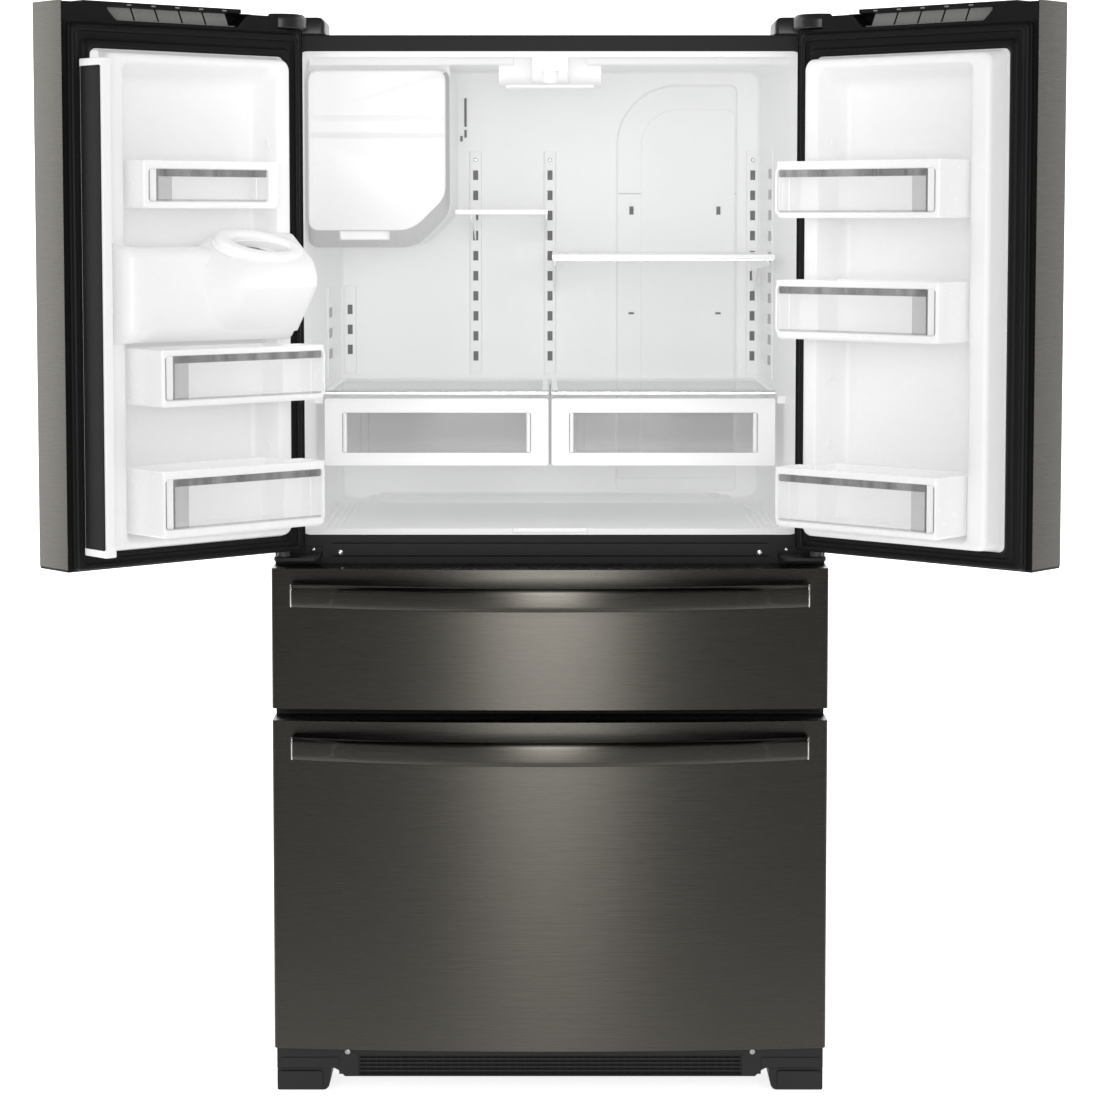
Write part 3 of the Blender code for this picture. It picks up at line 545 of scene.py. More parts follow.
def makeRails():
    for name, node in (("railLeftInner", "rail_left_inner"), ("railRightInner", "rail_right_inner"),
                       ("railRightCorner", "rail_right_corner")):
        low, high = nodeSpan(node)
        makeRail(name, (low[0] + high[0]) / 2, high[1], low[2], high[2], [node])
    low, high = nodeSpan("rail_right_corner")
    makeRail("railLeftCorner", -(low[0] + high[0]) / 2 + 0.004, high[1], low[2], 1.318, screw=False)
    # second columns, on the side walls
    for side, top in ((-1, 1.318), (1, high[2])):
        def onWall(x, y, z, side=side):
            # x runs into the room from the side wall, y along the wall from the front
            return casePoint(side * (sideWallX(y) - x), y, z)

        slots = []
        z = top - rail["first"]
        while z > low[2] + 0.012:
            slots.append(slab((0.0015, 0.402, z - rail["slotHigh"] / 2),
                              (0.02, 0.456, z + rail["slotHigh"] / 2)))
            z -= rail["pitch"]
        plate = slab((0.0004, 0.392, low[2]), (0.0030, 0.466, top))
        piece(f"sideRail{side + 1}", plate, litWhite, "cabinet", onWall, cuts=[together(slots)], soft=0.0008)
        # grey strip behind the wall slots: the part behind them, its grey partly painted shade
        bed = slab((0.0008, 0.400, low[2] + 0.004), (0.0020, 0.458, top - 0.03))
        piece(f"sideRailBed{side + 1}", bed, shade, "cabinet", onWall, slot="trim_black")


def makeDuct():
    low, high = nodeSpan("air_duct_cover")
    mid, radius = (low[0] + high[0]) / 2, (high[0] - low[0]) / 2
    spring = high[2] - radius

    def arch(inset, base, right=0.0):
        # round at the left shoulder, straight up to a small corner at the right
        r = radius - inset
        turns = [math.pi / 2 + math.pi / 2 * i / 16 for i in range(17)]
        corner = roundRect(mid, high[0] - right, base, spring + r, 0.012, 5)[:6]
        return corner + [(mid + r * math.cos(t), spring + r * math.sin(t))
                         for t in turns] + [(mid - r, base), (high[0] - right, base)]

    cuts = []
    for x in (low[0] + 0.028, high[0] - 0.034):
        cuts.append(slab((x - 0.0042, low[1] - 0.01, 1.4560), (x + 0.0042, low[1] + 0.006, 1.4720)))
        cuts.append(slab((x - 0.0055, low[1] - 0.01, 1.2650), (x + 0.0055, low[1] + 0.006, 1.2690)))
    # seam between the upper and the lower half
    cuts.append(slab((low[0] - 0.01, low[1] - 0.01, 1.4862), (high[0] + 0.01, low[1] + 0.0020, 1.4878)))
    # grey strip in the seam: painted shade
    piece("ductSeam", slab((low[0] + 0.004, low[1] + 0.0002, 1.4864),
                           (high[0] - 0.001, low[1] + 0.0030, 1.4876)), shade, "cabinet", soft=0.0002)
    outer = [atDepth(arch(inset, low[2] + rise), y) for inset, y, rise in
             ((0.0, high[1], 0.0), (0.0, low[1] + 0.004, 0.0), (0.0035, low[1] + 0.0006, 0.003))]
    outer = [[(min(x, high[0] - (0.0 if n < 2 else 0.0035)), y, z) for x, y, z in ring]
             for n, ring in enumerate(outer)]
    piece("ductCover", loft(outer), litWhite, "cabinet", cuts=[together(cuts)], replaces=["air_duct_cover"],
          angle=40)
    inset = 0.045
    raised = [atDepth(arch(i, low[2] + 0.05, right=i - inset + 0.004), y) for i, y in
           ((inset, low[1] + 0.0008), (inset + 0.0012, low[1] - 0.0016))]
    piece("ductRaised", loft(raised), litWhite, "cabinet", angle=40)
    # rounded foot of the duct, above the floor
    foot = softCorners([(low[0], low[2] + 0.012), (low[0], low[2] - 0.012), (high[0], low[2] - 0.012),
                        (high[0], low[2] + 0.012)], [0.002, 0.012, 0.012, 0.002])
    piece("ductFoot", prism("y", foot, low[1] - 0.0015, high[1] - 0.0005), litWhite, "cabinet", soft=0.003)
    # dark strips in the slots: painted shade
    for x in (low[0] + 0.028, high[0] - 0.034):
        for z, tall, wide in ((1.4560, 0.0150, 0.0038), (1.2670, 0.0036, 0.0050)):
            near = low[1] - 0.0018 if x > mid else low[1] + 0.0003
            piece(f"ductSlot{int(x * 1000)}{int(z * 1000)}", slab((x - wide, near, z - tall / 2),
                  (x + wide, near + 0.0008, z + tall / 2)), shadeAndScreenGrey, "cabinet", soft=0.0002)
    # service opening and its edge lines, beside the ice maker, drawn as dark strips: painted shade
    for k, (x, z, h) in enumerate(((-0.1555, 1.636, 0.052), (-0.1555, 1.597, 0.014), (-0.163, 1.588, 0.010))):
        piece(f"wallSlot{k}", slab((x - 0.0022, high[1] - 0.0012, z - h / 2),
                                   (x + 0.0022, high[1] - 0.0006, z + h / 2)), shadeAndScreenGrey, "cabinet",
              soft=0.0002)


def makeLightHousing():
    low, high = nodeSpan("light_housing")
    body = [(low[1], high[2]), (low[1] + 0.004, low[2] + 0.012), (low[1] + 0.020, low[2]),
            (high[1] - 0.02, low[2]), (high[1], high[2])]
    piece("lightHousing", prism("x", softCorners(body, [0.001, 0.008, 0.012, 0.02, 0.001]), low[0],
                                high[0]), white, "cabinet", soft=0.0035, replaces=["light_housing"])
    lens = roundRect(low[0] + 0.010, high[0] - 0.010, low[1] + 0.022, high[1] - 0.035, 0.008)
    piece("lightLens", prism("z", lens, low[2] - 0.0028, low[2] + 0.001), lamp, "cabinet", soft=0.0012)
    # block that guides the mullion's top pin
    block = softCorners([(0.020, high[2]), (0.020, high[2] - 0.028), (0.040, high[2] - 0.048),
                         (low[1] + 0.006, high[2] - 0.048), (low[1] + 0.006, high[2])],
                        [0.001, 0.006, 0.01, 0.002, 0.001])
    cut = prism("z", softCorners([(-0.016, 0.010), (0.016, 0.010), (0.010, 0.052), (-0.010, 0.052)], 0.006),
                high[2] - 0.06, high[2] - 0.030)
    piece("mullionGuide", prism("x", block, -0.029, 0.029), litWhite, "cabinet", cuts=[cut], soft=0.002)


def makeShelves():
    low, high = nodeSpan("shelf_small")
    back = high[1]
    piece("smallShelfGlass", slab((low[0] + 0.003, low[1] + 0.012, low[2] + 0.0035),
                                  (high[0] - 0.003, back, low[2] + 0.0080)), glass, "cabinet", soft=0.0008,
          replaces=["shelf_small"])
    trim = softCorners([(low[1], low[2] + 0.001), (low[1], high[2]), (low[1] + 0.020, high[2]),
                        (low[1] + 0.020, high[2] - 0.0022), (low[1] + 0.012, high[2] - 0.0022),
                        (low[1] + 0.012, low[2] + 0.001)], 0.0012, 3)
    piece("smallShelfTrim", prism("x", trim, low[0], high[0]), glowingBinWhite, "cabinet", soft=0.0008)
    piece("smallShelfBack", slab((low[0] + 0.002, back - 0.014, low[2] + 0.001),
                                 (high[0] - 0.002, back, high[2])), glowingBinWhite, "cabinet", soft=0.0015)
    for k, x in enumerate((-0.137, low[0] + 0.157)):
        arm("smallShelfArm%d" % k, x, low[1] + 0.020, back + 0.004, low[2] + 0.0012, 0.046)

    low, high = nodeSpan("shelf_wide_frame")
    edge = 0.012
    hole = slab((low[0] + edge, low[1] + 0.018, low[2] - 0.01),
                (high[0] - edge, high[1] - edge, high[2] + 0.01))
    piece("wideShelfFrame", slab((low[0], low[1] + 0.004, low[2]), high), glowingBinWhite, "cabinet", cuts=[hole],
          soft=0.0016, replaces=["shelf_wide_frame"])
    piece("wideShelfGlass", slab((low[0] + edge - 0.004, low[1] + 0.010, high[2] - 0.0042),
          (high[0] - edge + 0.004, high[1] - edge + 0.004, high[2] - 0.0004)), glass, "cabinet", soft=0.0006,
          replaces=["shelf_wide_glass"])
    face = softCorners([(low[1], low[2] + 0.0022), (low[1], high[2]), (low[1] + 0.006, high[2] + 0.0004),
                        (low[1] + 0.006, low[2] + 0.0022)], 0.0008, 3)
    piece("wideShelfNose", prism("x", face, low[0] - 0.0005, high[0] + 0.0005), glowingBinWhite, "cabinet",
          soft=0.0005)
    piece("wideShelfLine", slab((low[0] + 0.001, low[1] + 0.0005, low[2] - 0.0008),
                                (high[0] - 0.001, low[1] + 0.006, low[2] + 0.0024)), silver, "cabinet",
          soft=0.0004)
    for k, x in enumerate((low[0] + 0.0045, high[0] - 0.010)):
        arm("wideShelfArm%d" % k, x, low[1] + 0.014, high[1] + 0.004, low[2] + 0.0006, 0.062)


def arm(name, x, front, back, top, drop):
    # a sheet steel arm under a shelf, deeper towards its hooks
    outline = softCorners([(front, top), (front, top - 0.010), (back - 0.11, top - 0.020),
                           (back - 0.03, top - drop), (back, top - drop), (back, top)],
                          [0.002, 0.004, 0.03, 0.02, 0.004, 0.002])
    piece(name, prism("x", outline, x - 0.0011, x + 0.0011), glowingBinWhite, "cabinet", soft=0.0005)


crisper = {"bezel": 0.0290, "wall": 0.0028}


def makeCrispers():
    for side in ("left", "right"):
        body = "crisper_" + side
        low, high = nodeSpan("crisper_front_" + side)
        wLow, wHigh = low[2] + 0.0215, high[2] - 0.0240
        left, right = low[0] + crisper["bezel"], high[0] - crisper["bezel"]
        window = prism("y", roundRect(left, right, wLow, wHigh, 0.004), low[1] - 0.02, high[1] + 0.02)
        piece(f"crisperFace{side}", prism("y", roundRect(low[0], high[0], low[2], high[2], 0.005), low[1],
                                          high[1]), glowingBinWhite, body, cuts=[window], soft=0.0016,
              replaces=["crisper_front_" + side], slot="bin_white")
        # bezel lip round the window
        ring = [roundRect(left - 0.002, right + 0.002, wLow - 0.002, wHigh + 0.002, 0.006),
                roundRect(left + 0.001, right - 0.001, wLow + 0.001, wHigh - 0.001, 0.004)]
        loop = [atDepth(ring[0], low[1] - 0.0008), atDepth(ring[1], low[1] - 0.0008),
                atDepth(ring[1], low[1] + 0.010), atDepth(ring[0], low[1] + 0.010)]
        piece(f"crisperLip{side}", loft(loop, closed=True), glowingBinWhite, body, slot="bin_white")
        piece(f"crisperPane{side}", slab((left - 0.001, low[1] + 0.0050, wLow - 0.001),
                                         (right + 0.001, low[1] + 0.0072, wHigh + 0.001)), clear, body,
              soft=0.0005)
        for k, x in enumerate((left + 0.006, right - 0.006)):
            section = softCorners([(x - 0.004, low[1] + 0.0052), (x - 0.0025, low[1] + 0.0018),
                                   (x + 0.0025, low[1] + 0.0018), (x + 0.004, low[1] + 0.0052)], 0.0015, 4)
            piece(f"crisperRib{side}{k}", prism("z", section, wLow + 0.002, wHigh - 0.002), glowingBinWhite, body,
                  slot="bin_white")
        # the tray behind the face
        tLow, tHigh = nodeSpan("crisper_tray_" + side)
        wall = crisper["wall"]
        rings = []
        for inset, z in ((0.010, tLow[2]), (0.002, tLow[2] + 0.010), (0.0, tHigh[2]), (wall, tHigh[2]),
                         (wall + 0.002, tLow[2] + 0.013), (wall + 0.012, tLow[2] + wall)):
            rings.append(atHeight(roundRect(tLow[0] + inset, tHigh[0] - inset, tLow[1] + inset * 0.3,
                                                          tHigh[1] - inset, 0.012, 5), z))
        piece(f"crisperTray{side}", loft(rings), clear, body, replaces=["crisper_tray_" + side])
        for k in range(2):
            x = tLow[0] + 0.055 + k * 0.014 if side == "left" else tLow[0] + 0.040 + k * 0.012
            piece(f"crisperDivider{side}{k}", prism("x", softCorners([(tLow[1] + 0.012, tLow[2] + 0.004),
                  (tLow[1] + 0.012, tHigh[2] - 0.014), (tLow[1] + 0.016, tHigh[2] - 0.010),
                  (tLow[1] + 0.016, tLow[2] + 0.004)], 0.001), x, x + 0.0016), clear, body)
        # the fixed cover over it
        cLow, cHigh = nodeSpan("crisper_cover_" + side)
        piece(f"crisperCover{side}", slab((cLow[0] + 0.006, cLow[1] + 0.012, cHigh[2] - 0.0050),
                                          (cHigh[0] - 0.006, cHigh[1] - 0.010, cHigh[2] - 0.0008)), glass,
              "cabinet", soft=0.0007, replaces=["crisper_cover_" + side])
        nose = softCorners([(cLow[1], cLow[2] + 0.001), (cLow[1], cHigh[2] - 0.001),
                            (cLow[1] + 0.004, cHigh[2]), (cLow[1] + 0.020, cHigh[2]),
                            (cLow[1] + 0.020, cLow[2] + 0.001)], 0.001, 3)
        piece(f"crisperCoverNose{side}", prism("x", nose, cLow[0], cHigh[0]), silver, "cabinet", soft=0.0006)
        for k, (x0, x1) in enumerate(((cLow[0], cLow[0] + 0.010), (cHigh[0] - 0.010, cHigh[0]))):
            piece(f"crisperCoverSide{side}{k}", slab((x0, cLow[1] + 0.018, cLow[2] + 0.001),
                                                     (x1, cHigh[1], cHigh[2])), glowingBinWhite, "cabinet",
                  soft=0.0012)
        piece(f"crisperCoverBack{side}", slab((cLow[0] + 0.008, cHigh[1] - 0.014, cLow[2] + 0.001),
                                              (cHigh[0] - 0.008, cHigh[1], cHigh[2] + 0.0008)), glowingBinWhite,
              "cabinet", soft=0.0012)
    # wall between the two crispers, white plastic painted grey: painted shade
    piece("crisperMiddleWall", slab((-0.0012, 0.222, 1.020), (0.0016, 0.560, 1.1372)), shade, "cabinet",
          soft=0.0004)


ice = {"cut": 0.056, "bandHigh": 1.6130, "bandLow": 1.5800}


def iceOutline(low, high, cut, radius=0.016):
    outline = [(low[0], low[2]), (high[0] - cut, low[2]), (high[0], low[2] + cut), (high[0], high[2]),
               (low[0], high[2])]
    return softCorners(outline, [radius, radius * 1.4, radius, radius, radius], 6)


def makeIceMaker():
    low, high = nodeSpan("ice_maker_housing")
    cut = ice["cut"]
    outer = iceOutline(low, high, cut)
    inner = iceOutline((low[0] + 0.003, 0, low[2] + 0.003), (high[0] - 0.003, 0, high[2] - 0.003), cut, 0.014)
    rings = [atDepth(inner, high[1] - 0.003), atDepth(inner, low[1]),
             atDepth(outer, low[1]), atDepth(outer, high[1])]
    piece("iceHousing", loft(rings), white, "cabinet", replaces=["ice_maker_housing"], angle=45)
    # collar between the liner and the housing
    collarLow, collarHigh = (-0.4045, 0, low[2] + 0.004), (high[0] + 0.0005, 0, 1.7105)
    wide = iceOutline(collarLow, collarHigh, cut)
    mid = iceOutline((low[0] + 0.008, 0, low[2]), (high[0], 0, high[2] - 0.014), cut)
    piece("iceCollar", loft([atDepth(wide, 0.1335), atDepth(mid, 0.1335),
                             atDepth(mid, 0.1395), atDepth(wide, 0.1395)], closed=True),
          white, "cabinet", angle=45)

    low, high = nodeSpan("ice_bin")
    top = high[2]
    # front: a rim that slopes back, then the flat face with a band pressed across it
    back = iceOutline((low[0] - 0.0004, 0, low[2] - 0.0076), (high[0] + 0.0004, 0, high[2] + 0.0020), cut,
                      0.018)
    face = iceOutline((low[0] + 0.003, 0, low[2] + 0.024), (high[0] - 0.008, 0, top - 0.003), cut, 0.018)
    edge = iceOutline((low[0] + 0.0008, 0, low[2] + 0.0210), (high[0] - 0.0055, 0, top - 0.0008), cut, 0.018)
    y0, y1 = low[1], low[1] + 0.028
    rings = [atDepth(back, y1), atDepth(back, y0 + 0.020), atDepth(edge, y0 + 0.0022), atDepth(face, y0)]
    band = [(y0 - 0.02, ice["bandLow"] - 0.006), (y0 - 0.0001, ice["bandLow"] - 0.006),
            (y0 + 0.0055, ice["bandLow"] + 0.004), (y0 + 0.0050, ice["bandHigh"] - 0.010),
            (y0 + 0.0002, ice["bandHigh"]), (y0 - 0.02, ice["bandHigh"])]
    grip = prism("x", [(y0 - 0.01, low[2] + 0.004), (y0 - 0.01, low[2] + 0.0195),
                       (y0 + 0.019, low[2] + 0.0195), (y0 + 0.026, low[2] + 0.004)], -0.352, -0.268)
    piece("iceBinFace", loft(rings), white, "ice_bin",
          cuts=[prism("x", softCorners(band, 0.002), -0.40, -0.1765), grip], replaces=["ice_bin"], angle=35)
    # grey overlay on the rim that slopes back and down: painted shade
    skirt = [atDepth(back, y0 + 0.0200), atDepth(edge, y0 + 0.0026)]
    over = [[(x + 0.0006 * (1 if x > -0.28 else -1), y - 0.0004, z - 0.0006) for x, y, z in ring]
            for ring in skirt]
    piece("iceBinShadedSkirt", loft([over[0], over[1], skirt[1], skirt[0]], closed=True), shade, "ice_bin",
          cuts=[grip], angle=35)
    piece("iceBinGrip", slab((-0.351, y0 + 0.0185, low[2] + 0.005), (-0.269, y0 + 0.0195, low[2] + 0.019)),
          white, "ice_bin", soft=0.0003)
    # the bin behind it, with the auger's outlet in its floor
    left, right, floor, rim, far = -0.3735, high[0] - 0.0075, low[2] + 0.0005, 1.6000, high[1]
    outline = [(left, floor), (right - cut, floor), (right, floor + cut), (right, rim), (left, rim)]
    inside = [(left + 0.003, floor + 0.003), (right - cut, floor + 0.003), (right - 0.003, floor + cut),
              (right - 0.003, rim), (left + 0.003, rim)]
    shell = prism("y", softCorners(outline, [0.01, 0.02, 0.02, 0.0, 0.0]), y1 - 0.001, far)
    hollow = prism("y", [(x, z + (0.02 if z == rim else 0)) for x, z in inside], y1 + 0.002, far - 0.003)
    piece("iceBinTub", shell, white, "ice_bin", cuts=[hollow], soft=0.001)
    turns, radius, steps = 5, 0.030, 16
    coil = []
    for i in range(turns * steps + 1):
        angle = 2 * math.pi * i / steps
        y = y1 + 0.03 + (far - y1 - 0.06) * i / (turns * steps)
        coil.append((-0.285 + radius * math.cos(angle), y, floor + 0.040 + radius * math.sin(angle)))
    rings = []
    for i, p in enumerate(coil):
        before, after = Vector(coil[max(0, i - 1)]), Vector(coil[min(len(coil) - 1, i + 1)])
        along = (after - before).normalized()
        out = (Vector(p) - Vector((-0.285, p[1], floor + 0.040))).normalized()
        up = along.cross(out)
        rings.append([tuple(Vector(p) + out * 0.004 * math.cos(2 * math.pi * k / 8) + up * 0.004
                            * math.sin(2 * math.pi * k / 8)) for k in range(8)])
    piece("iceAuger", loft(rings), zinc, "ice_bin")


print("tools ready")
makeCase()
makeFrontFrame()
makeLiners()
makeRails()
makeDuct()
makeLightHousing()
makeShelves()
makeCrispers()
makeIceMaker()
print("case and fridge made")


# u runs from a door's hinge edge to its free edge, w from its inner face into the case

door = {"wide": 0.4515, "low": 0.9035, "high": 1.770, "faceOut": 0.083, "bow": 0.022, "edge": 0.005,
        "pivotU": 0.018, "pivotW": 0.036}


def doorFrame(side):
    hinge = joints["left_door_hinge" if side < 0 else "right_door_hinge"]
    pivot = Vector(hinge["pos_m"])
    limits = hinge["range_deg"]
    turn = math.radians(side * (limits[1] - limits[0]))
    sign = -side

    def place(u, w, z):
        x, y = sign * (u - door["pivotU"]), w + door["pivotW"]
        return (pivot.x + x * math.cos(turn) - y * math.sin(turn),
                pivot.y + x * math.sin(turn) + y * math.cos(turn), z)

    return place


def faceW(u):
    # the bowed outer face
    return -door["faceOut"] + door["bow"] * ((halfWidth - u) / halfWidth) ** 2


def outerOutline(inset=0.0, back=0.0):
    start, end = inset, door["wide"] - inset
    points = [(start, back)]
    r = door["edge"]
    first, last = faceW(start + r) + inset, faceW(end - r) + inset
    turns = [math.pi / 2 * i / 5 for i in range(6)]
    points += [(start + r * (1 - math.cos(a)), first + r * (1 - math.sin(a))) for a in turns]
    points += [(u, faceW(u) + inset) for u in spread(start + r + 0.012, end - r - 0.012, 24)]
    points += [(end - r * (1 - math.cos(a)), last + r * (1 - math.sin(a))) for a in reversed(turns)]
    points.append((end, back))
    return points


def cell(u0, u1, w0, w1, z0, z1):
    return slab((u0, w0, z0), (u1, w1, z1))


def makeDoorSkin(side, name, place):
    low, high = door["low"], door["high"]
    # the steel wraps the outer face and both edges; its returns stop at the black inner surround
    outline = outerOutline()
    inner = outerOutline(0.0012)
    top, bottom = high - 0.0012, low + 0.004
    black = high - 0.030
    cuts = []
    if side < 0:
        # the dispenser's bay
        cuts.append(cell(0.1344, 0.3156, -0.2, -0.03, 1.0594, 1.4206))
    rings = [atHeight(outline, z) for z in (bottom, top)]
    hollow = [[(u, w if w < -0.001 else 0.05, z) for u, w in inner] for z in (bottom + 0.0012, top + 0.02)]
    cuts.append(prism("z", disc(door["pivotU"], -door["pivotW"], 0.0455, 40), 1.7428, high + 0.02))
    piece(name + "Skin", loft(rings), steel, name, place, cuts=[loft(hollow)] + cuts, soft=0.0010,
          replaces=[name + "_skin"], angle=40)
    # black inner surround: outside the gasket, with a groove beside the steel
    ring = [cell(0.0016, 0.0295, -0.012, 0.0, bottom + 0.002, black),
            cell(0.4255, door["wide"] - 0.0016, -0.012, 0.0, bottom + 0.002, black)]
    piece(name + "Surround0", ring[0], capBlack, name, place, soft=0.0016)
    groove = cell(0.4478, 0.4486, -0.003, 0.01, bottom, black + 0.01)
    piece(name + "Surround1", ring[1], capBlack, name, place, cuts=[groove], soft=0.0010)
    piece(name + "SurroundLow", cell(0.0295, 0.4255, -0.012, 0.0, bottom + 0.002, 0.9224), capBlack, name,
          place, soft=0.0010)
    piece(name + "SurroundHigh", cell(0.0295, 0.4255, -0.012, 0.0, 1.708, black), capBlack, name, place,
          soft=0.0010)
    # foot trim
    piece(name + "Foot", prism("z", outerOutline(0.0006), low, bottom + 0.001), capBlack, name, place,
          soft=0.0015)
    makeDoorCap(name, place, black, high)


def makeDoorCap(name, place, low, high):
    # moulded cap with a raised middle, a step down to the hinge end and a ribbed pocket in its inner face
    outline = outerOutline(0.0014)
    raised = loft([atHeight(outline, z) for z in (low, high)])
    notch = prism("z", disc(door["pivotU"], -door["pivotW"], 0.047, 40), 1.7425, high + 0.02)
    step = cell(-0.01, 0.120, -0.2, 0.02, high - 0.0075, high + 0.02)
    edgeStep = cell(0.4130, door["wide"] + 0.01, -0.2, 0.02, high - 0.0030, high + 0.02)
    zLow, zHigh = 1.7415, 1.7640
    pocketFace = [(0.128, zLow), (0.352, zLow), (0.372, zHigh - 0.003), (0.368, zHigh), (0.124, zHigh),
                  (0.108, zHigh - 0.003)]
    pocket = loft([[(u, w, zLow + (z - zLow) * s + 0.002 * (1 - s)) for u, z in pocketFace]
                   for w, s in ((0.01, 1.04), (-0.030, 0.9))])
    piece(name + "Cap", raised, capBlack, name, place, cuts=[notch, step, edgeStep, pocket], soft=0.0013)
    # ribs across the pocket: black rib panels painted lighter grey as painted sheen, between slanted dark
    # webs
    spans = spread(0.130, 0.352, 5)
    for k in range(5):
        u0, u1 = spans[k] + 0.0016, spans[k + 1] - 0.0016
        lean = 0.010
        face = [(u0, zLow + 0.001), (u1, zLow + 0.001), (u1 + lean * 0.8, zHigh - 0.001),
                (u0 + lean * 0.8, zHigh - 0.001)]
        panel = loft([atDepth(face, w) for w in (-0.0190, -0.0175)])
        piece(f"{name}CapPanel{k}", panel, ribSheenGrey, name, place, soft=0.0004)
        shelf = loft([atHeight(((u0, -0.019), (u1, -0.019), (u1, -0.002), (u0, -0.002)), z)
                      for z in (zLow + 0.0008, zLow + 0.0016)])
        piece(f"{name}CapShelf{k}", shelf, ribSheenGrey, name, place, soft=0.0003)
        tab = cell((u0 + u1) / 2 - 0.004, (u0 + u1) / 2 + 0.004, -0.006, 0.0004, zHigh + 0.0012,
                   zHigh + 0.0034)
        piece(f"{name}CapTab{k}", tab, ribSheenGrey, name, place, soft=0.0004)
    piece(name + "CapLine", cell(0.030, 0.440, -0.0002, 0.0004, low - 0.0012, low + 0.0002), trimBlack,
          name, place)


def makeGasket(name, place):
    # soft magnetic seal with two ridges; it covers the panel's flange, less on the hinge side and below
    section = [(0.0, 0.0004), (0.01, 0.0040), (0.06, 0.0060), (0.08, 0.0098), (0.14, 0.0113),
               (0.25, 0.0114), (0.33, 0.0098), (0.36, 0.0066), (0.46, 0.0056), (0.60, 0.0060),
               (0.66, 0.0072), (0.72, 0.0100), (0.80, 0.0108), (0.88, 0.0098), (0.93, 0.0070),
               (1.0, 0.0052), (1.0, 0.0036), (0.40, 0.0036), (0.38, 0.0004)]
    rings = []
    for t, w in section:
        rings.append(atDepth(roundRect(0.012 + t * 0.0300, 0.443 - t * 0.0385, 0.9055 + t * 0.0255,
                                                      1.7365 - t * 0.0385, 0.006 + 0.004 * t, 5), w))
    piece(name + "Gasket", loft(rings, closed=True), rubber, name, place, soft=0.0003,
          replaces=[name + "_gasket"], angle=25)


# the white inner panel

panel = {"crest": (0.049, 0.078, 0.362, 0.398), "rimZ": (0.9350, 0.9450, 1.674, 1.692),
         "flangeU": (0.0265, 0.4270), "flangeZ": (0.9205, 1.7215), "flange": 0.0032, "recess": -0.026}


def makeDoorLiner(side, name, place, crest):
    c, r = panel["crest"], panel["rimZ"]
    rings = []

    def ring(u0, u1, z0, z1, w, corner):
        return atDepth(roundRect(u0, u1, z0, z1, corner, 6), w)

    fu, fz = panel["flangeU"], panel["flangeZ"]
    rings.append(ring(fu[0], fu[1], fz[0], fz[1], panel["flange"] - 0.0022, 0.004))
    rings.append(ring(fu[0], fu[1], fz[0], fz[1], panel["flange"], 0.004))
    rings.append(ring(c[0] - 0.007, c[3] + 0.007, r[0] - 0.005, r[3] + 0.005, panel["flange"], 0.012))
    rings.append(ring(c[0] - 0.0025, c[3] + 0.0025, r[0] - 0.002, r[3] + 0.002, panel["flange"] + 0.006,
                      0.014))
    for i in range(6):  # rounded outer shoulder of the rim
        a = math.pi / 2 * i / 5
        inset = 0.010 * (1 - math.cos(a))
        rings.append(ring(c[0] + inset * 0.9, c[3] - inset * 0.9, r[0] + inset * 0.5, r[3] - inset * 0.8,
                          crest - 0.010 + 0.010 * math.sin(a), 0.016))
    rings.append(ring(c[1] - 0.004, c[2] + 0.008, r[1] - 0.002, r[2] + 0.007, crest, 0.012))
    rings.append(ring(c[1] - 0.0005, c[2] + 0.0015, r[1] + 0.0005, r[2] + 0.002, crest - 0.004, 0.012))
    rings.append(ring(c[1] + 0.0015, c[2] - 0.0015, r[1] + 0.010, r[2] - 0.008, 0.0, 0.014))
    rings.append(ring(c[1] + 0.004, c[2] - 0.004, r[1] + 0.016, r[2] - 0.014, panel["recess"] + 0.010, 0.016))
    rings.append(ring(c[1] + 0.012, c[2] - 0.012, r[1] + 0.024, r[2] - 0.022, panel["recess"] + 0.001, 0.018))
    rings.append(ring(c[1] + 0.030, c[2] - 0.030, r[1] + 0.042, r[2] - 0.040, panel["recess"], 0.018))
    points = [p for one in rings for p in one]
    count = len(rings[0])
    faces = []
    for level in range(len(rings) - 1):
        for i in range(count):
            j = (i + 1) % count
            faces.append([level * count + i, level * count + j, (level + 1) * count + j,
                          (level + 1) * count + i])
    faces.append([(len(rings) - 1) * count + i for i in range(count)])
    piece(name + "Liner", (points, faces), white, name, place, replaces=[name + "_liner"], angle=55)
    # buttons that hold the bins, on the rim's inner walls
    for k, z in enumerate((0.990, 1.080, 1.190, 1.290, 1.470, 1.560)):
        if side < 0 and 1.24 < z < 1.42:
            continue
        for m, u in enumerate((c[1] + 0.0008, c[2] - 0.0012)):
            piece(f"{name}BinButton{k}{m}", prism("x", disc(0.010, z, 0.0065, 16), u - 0.002, u + 0.0024),
                  white, name, place, soft=0.0006)


def makeBlock(place):
    # the deep block of the left door that carries the ice chute; its ends run down to the rim
    low, high, out = 1.252, 1.398, 0.074
    c = panel["crest"]

    def section(u, reach, rise):
        outline = [(-0.02, low - rise * 0.4), (reach - 0.014, low - rise * 0.3), (reach, low + 0.016),
                   (reach, high - 0.012), (reach - 0.010, high + rise * 0.4), (0.020, high + rise),
                   (-0.02, high + rise)]
        return atSide(softCorners(outline, [0.001, 0.010, 0.014, 0.010, 0.010, 0.012, 0.001]), u)

    stations = [(c[0] + 0.004, 0.038, 0.018), (c[0] + 0.010, 0.052, 0.010), (c[0] + 0.018, 0.066, 0.004),
                (c[0] + 0.028, out, 0.0), (c[2] - 0.006, out, 0.0), (c[2] + 0.010, 0.0725, 0.002),
                (c[2] + 0.020, 0.064, 0.006), (c[2] + 0.028, 0.050, 0.012), (c[2] + 0.033, 0.036, 0.018)]
    piece("doorBlock", loft([section(*one) for one in stations]), white, "left_door", place, angle=60)


doorBin = {"inner": 0.0815, "outer": 0.3575, "wall": 0.0028, "step": 0.054}


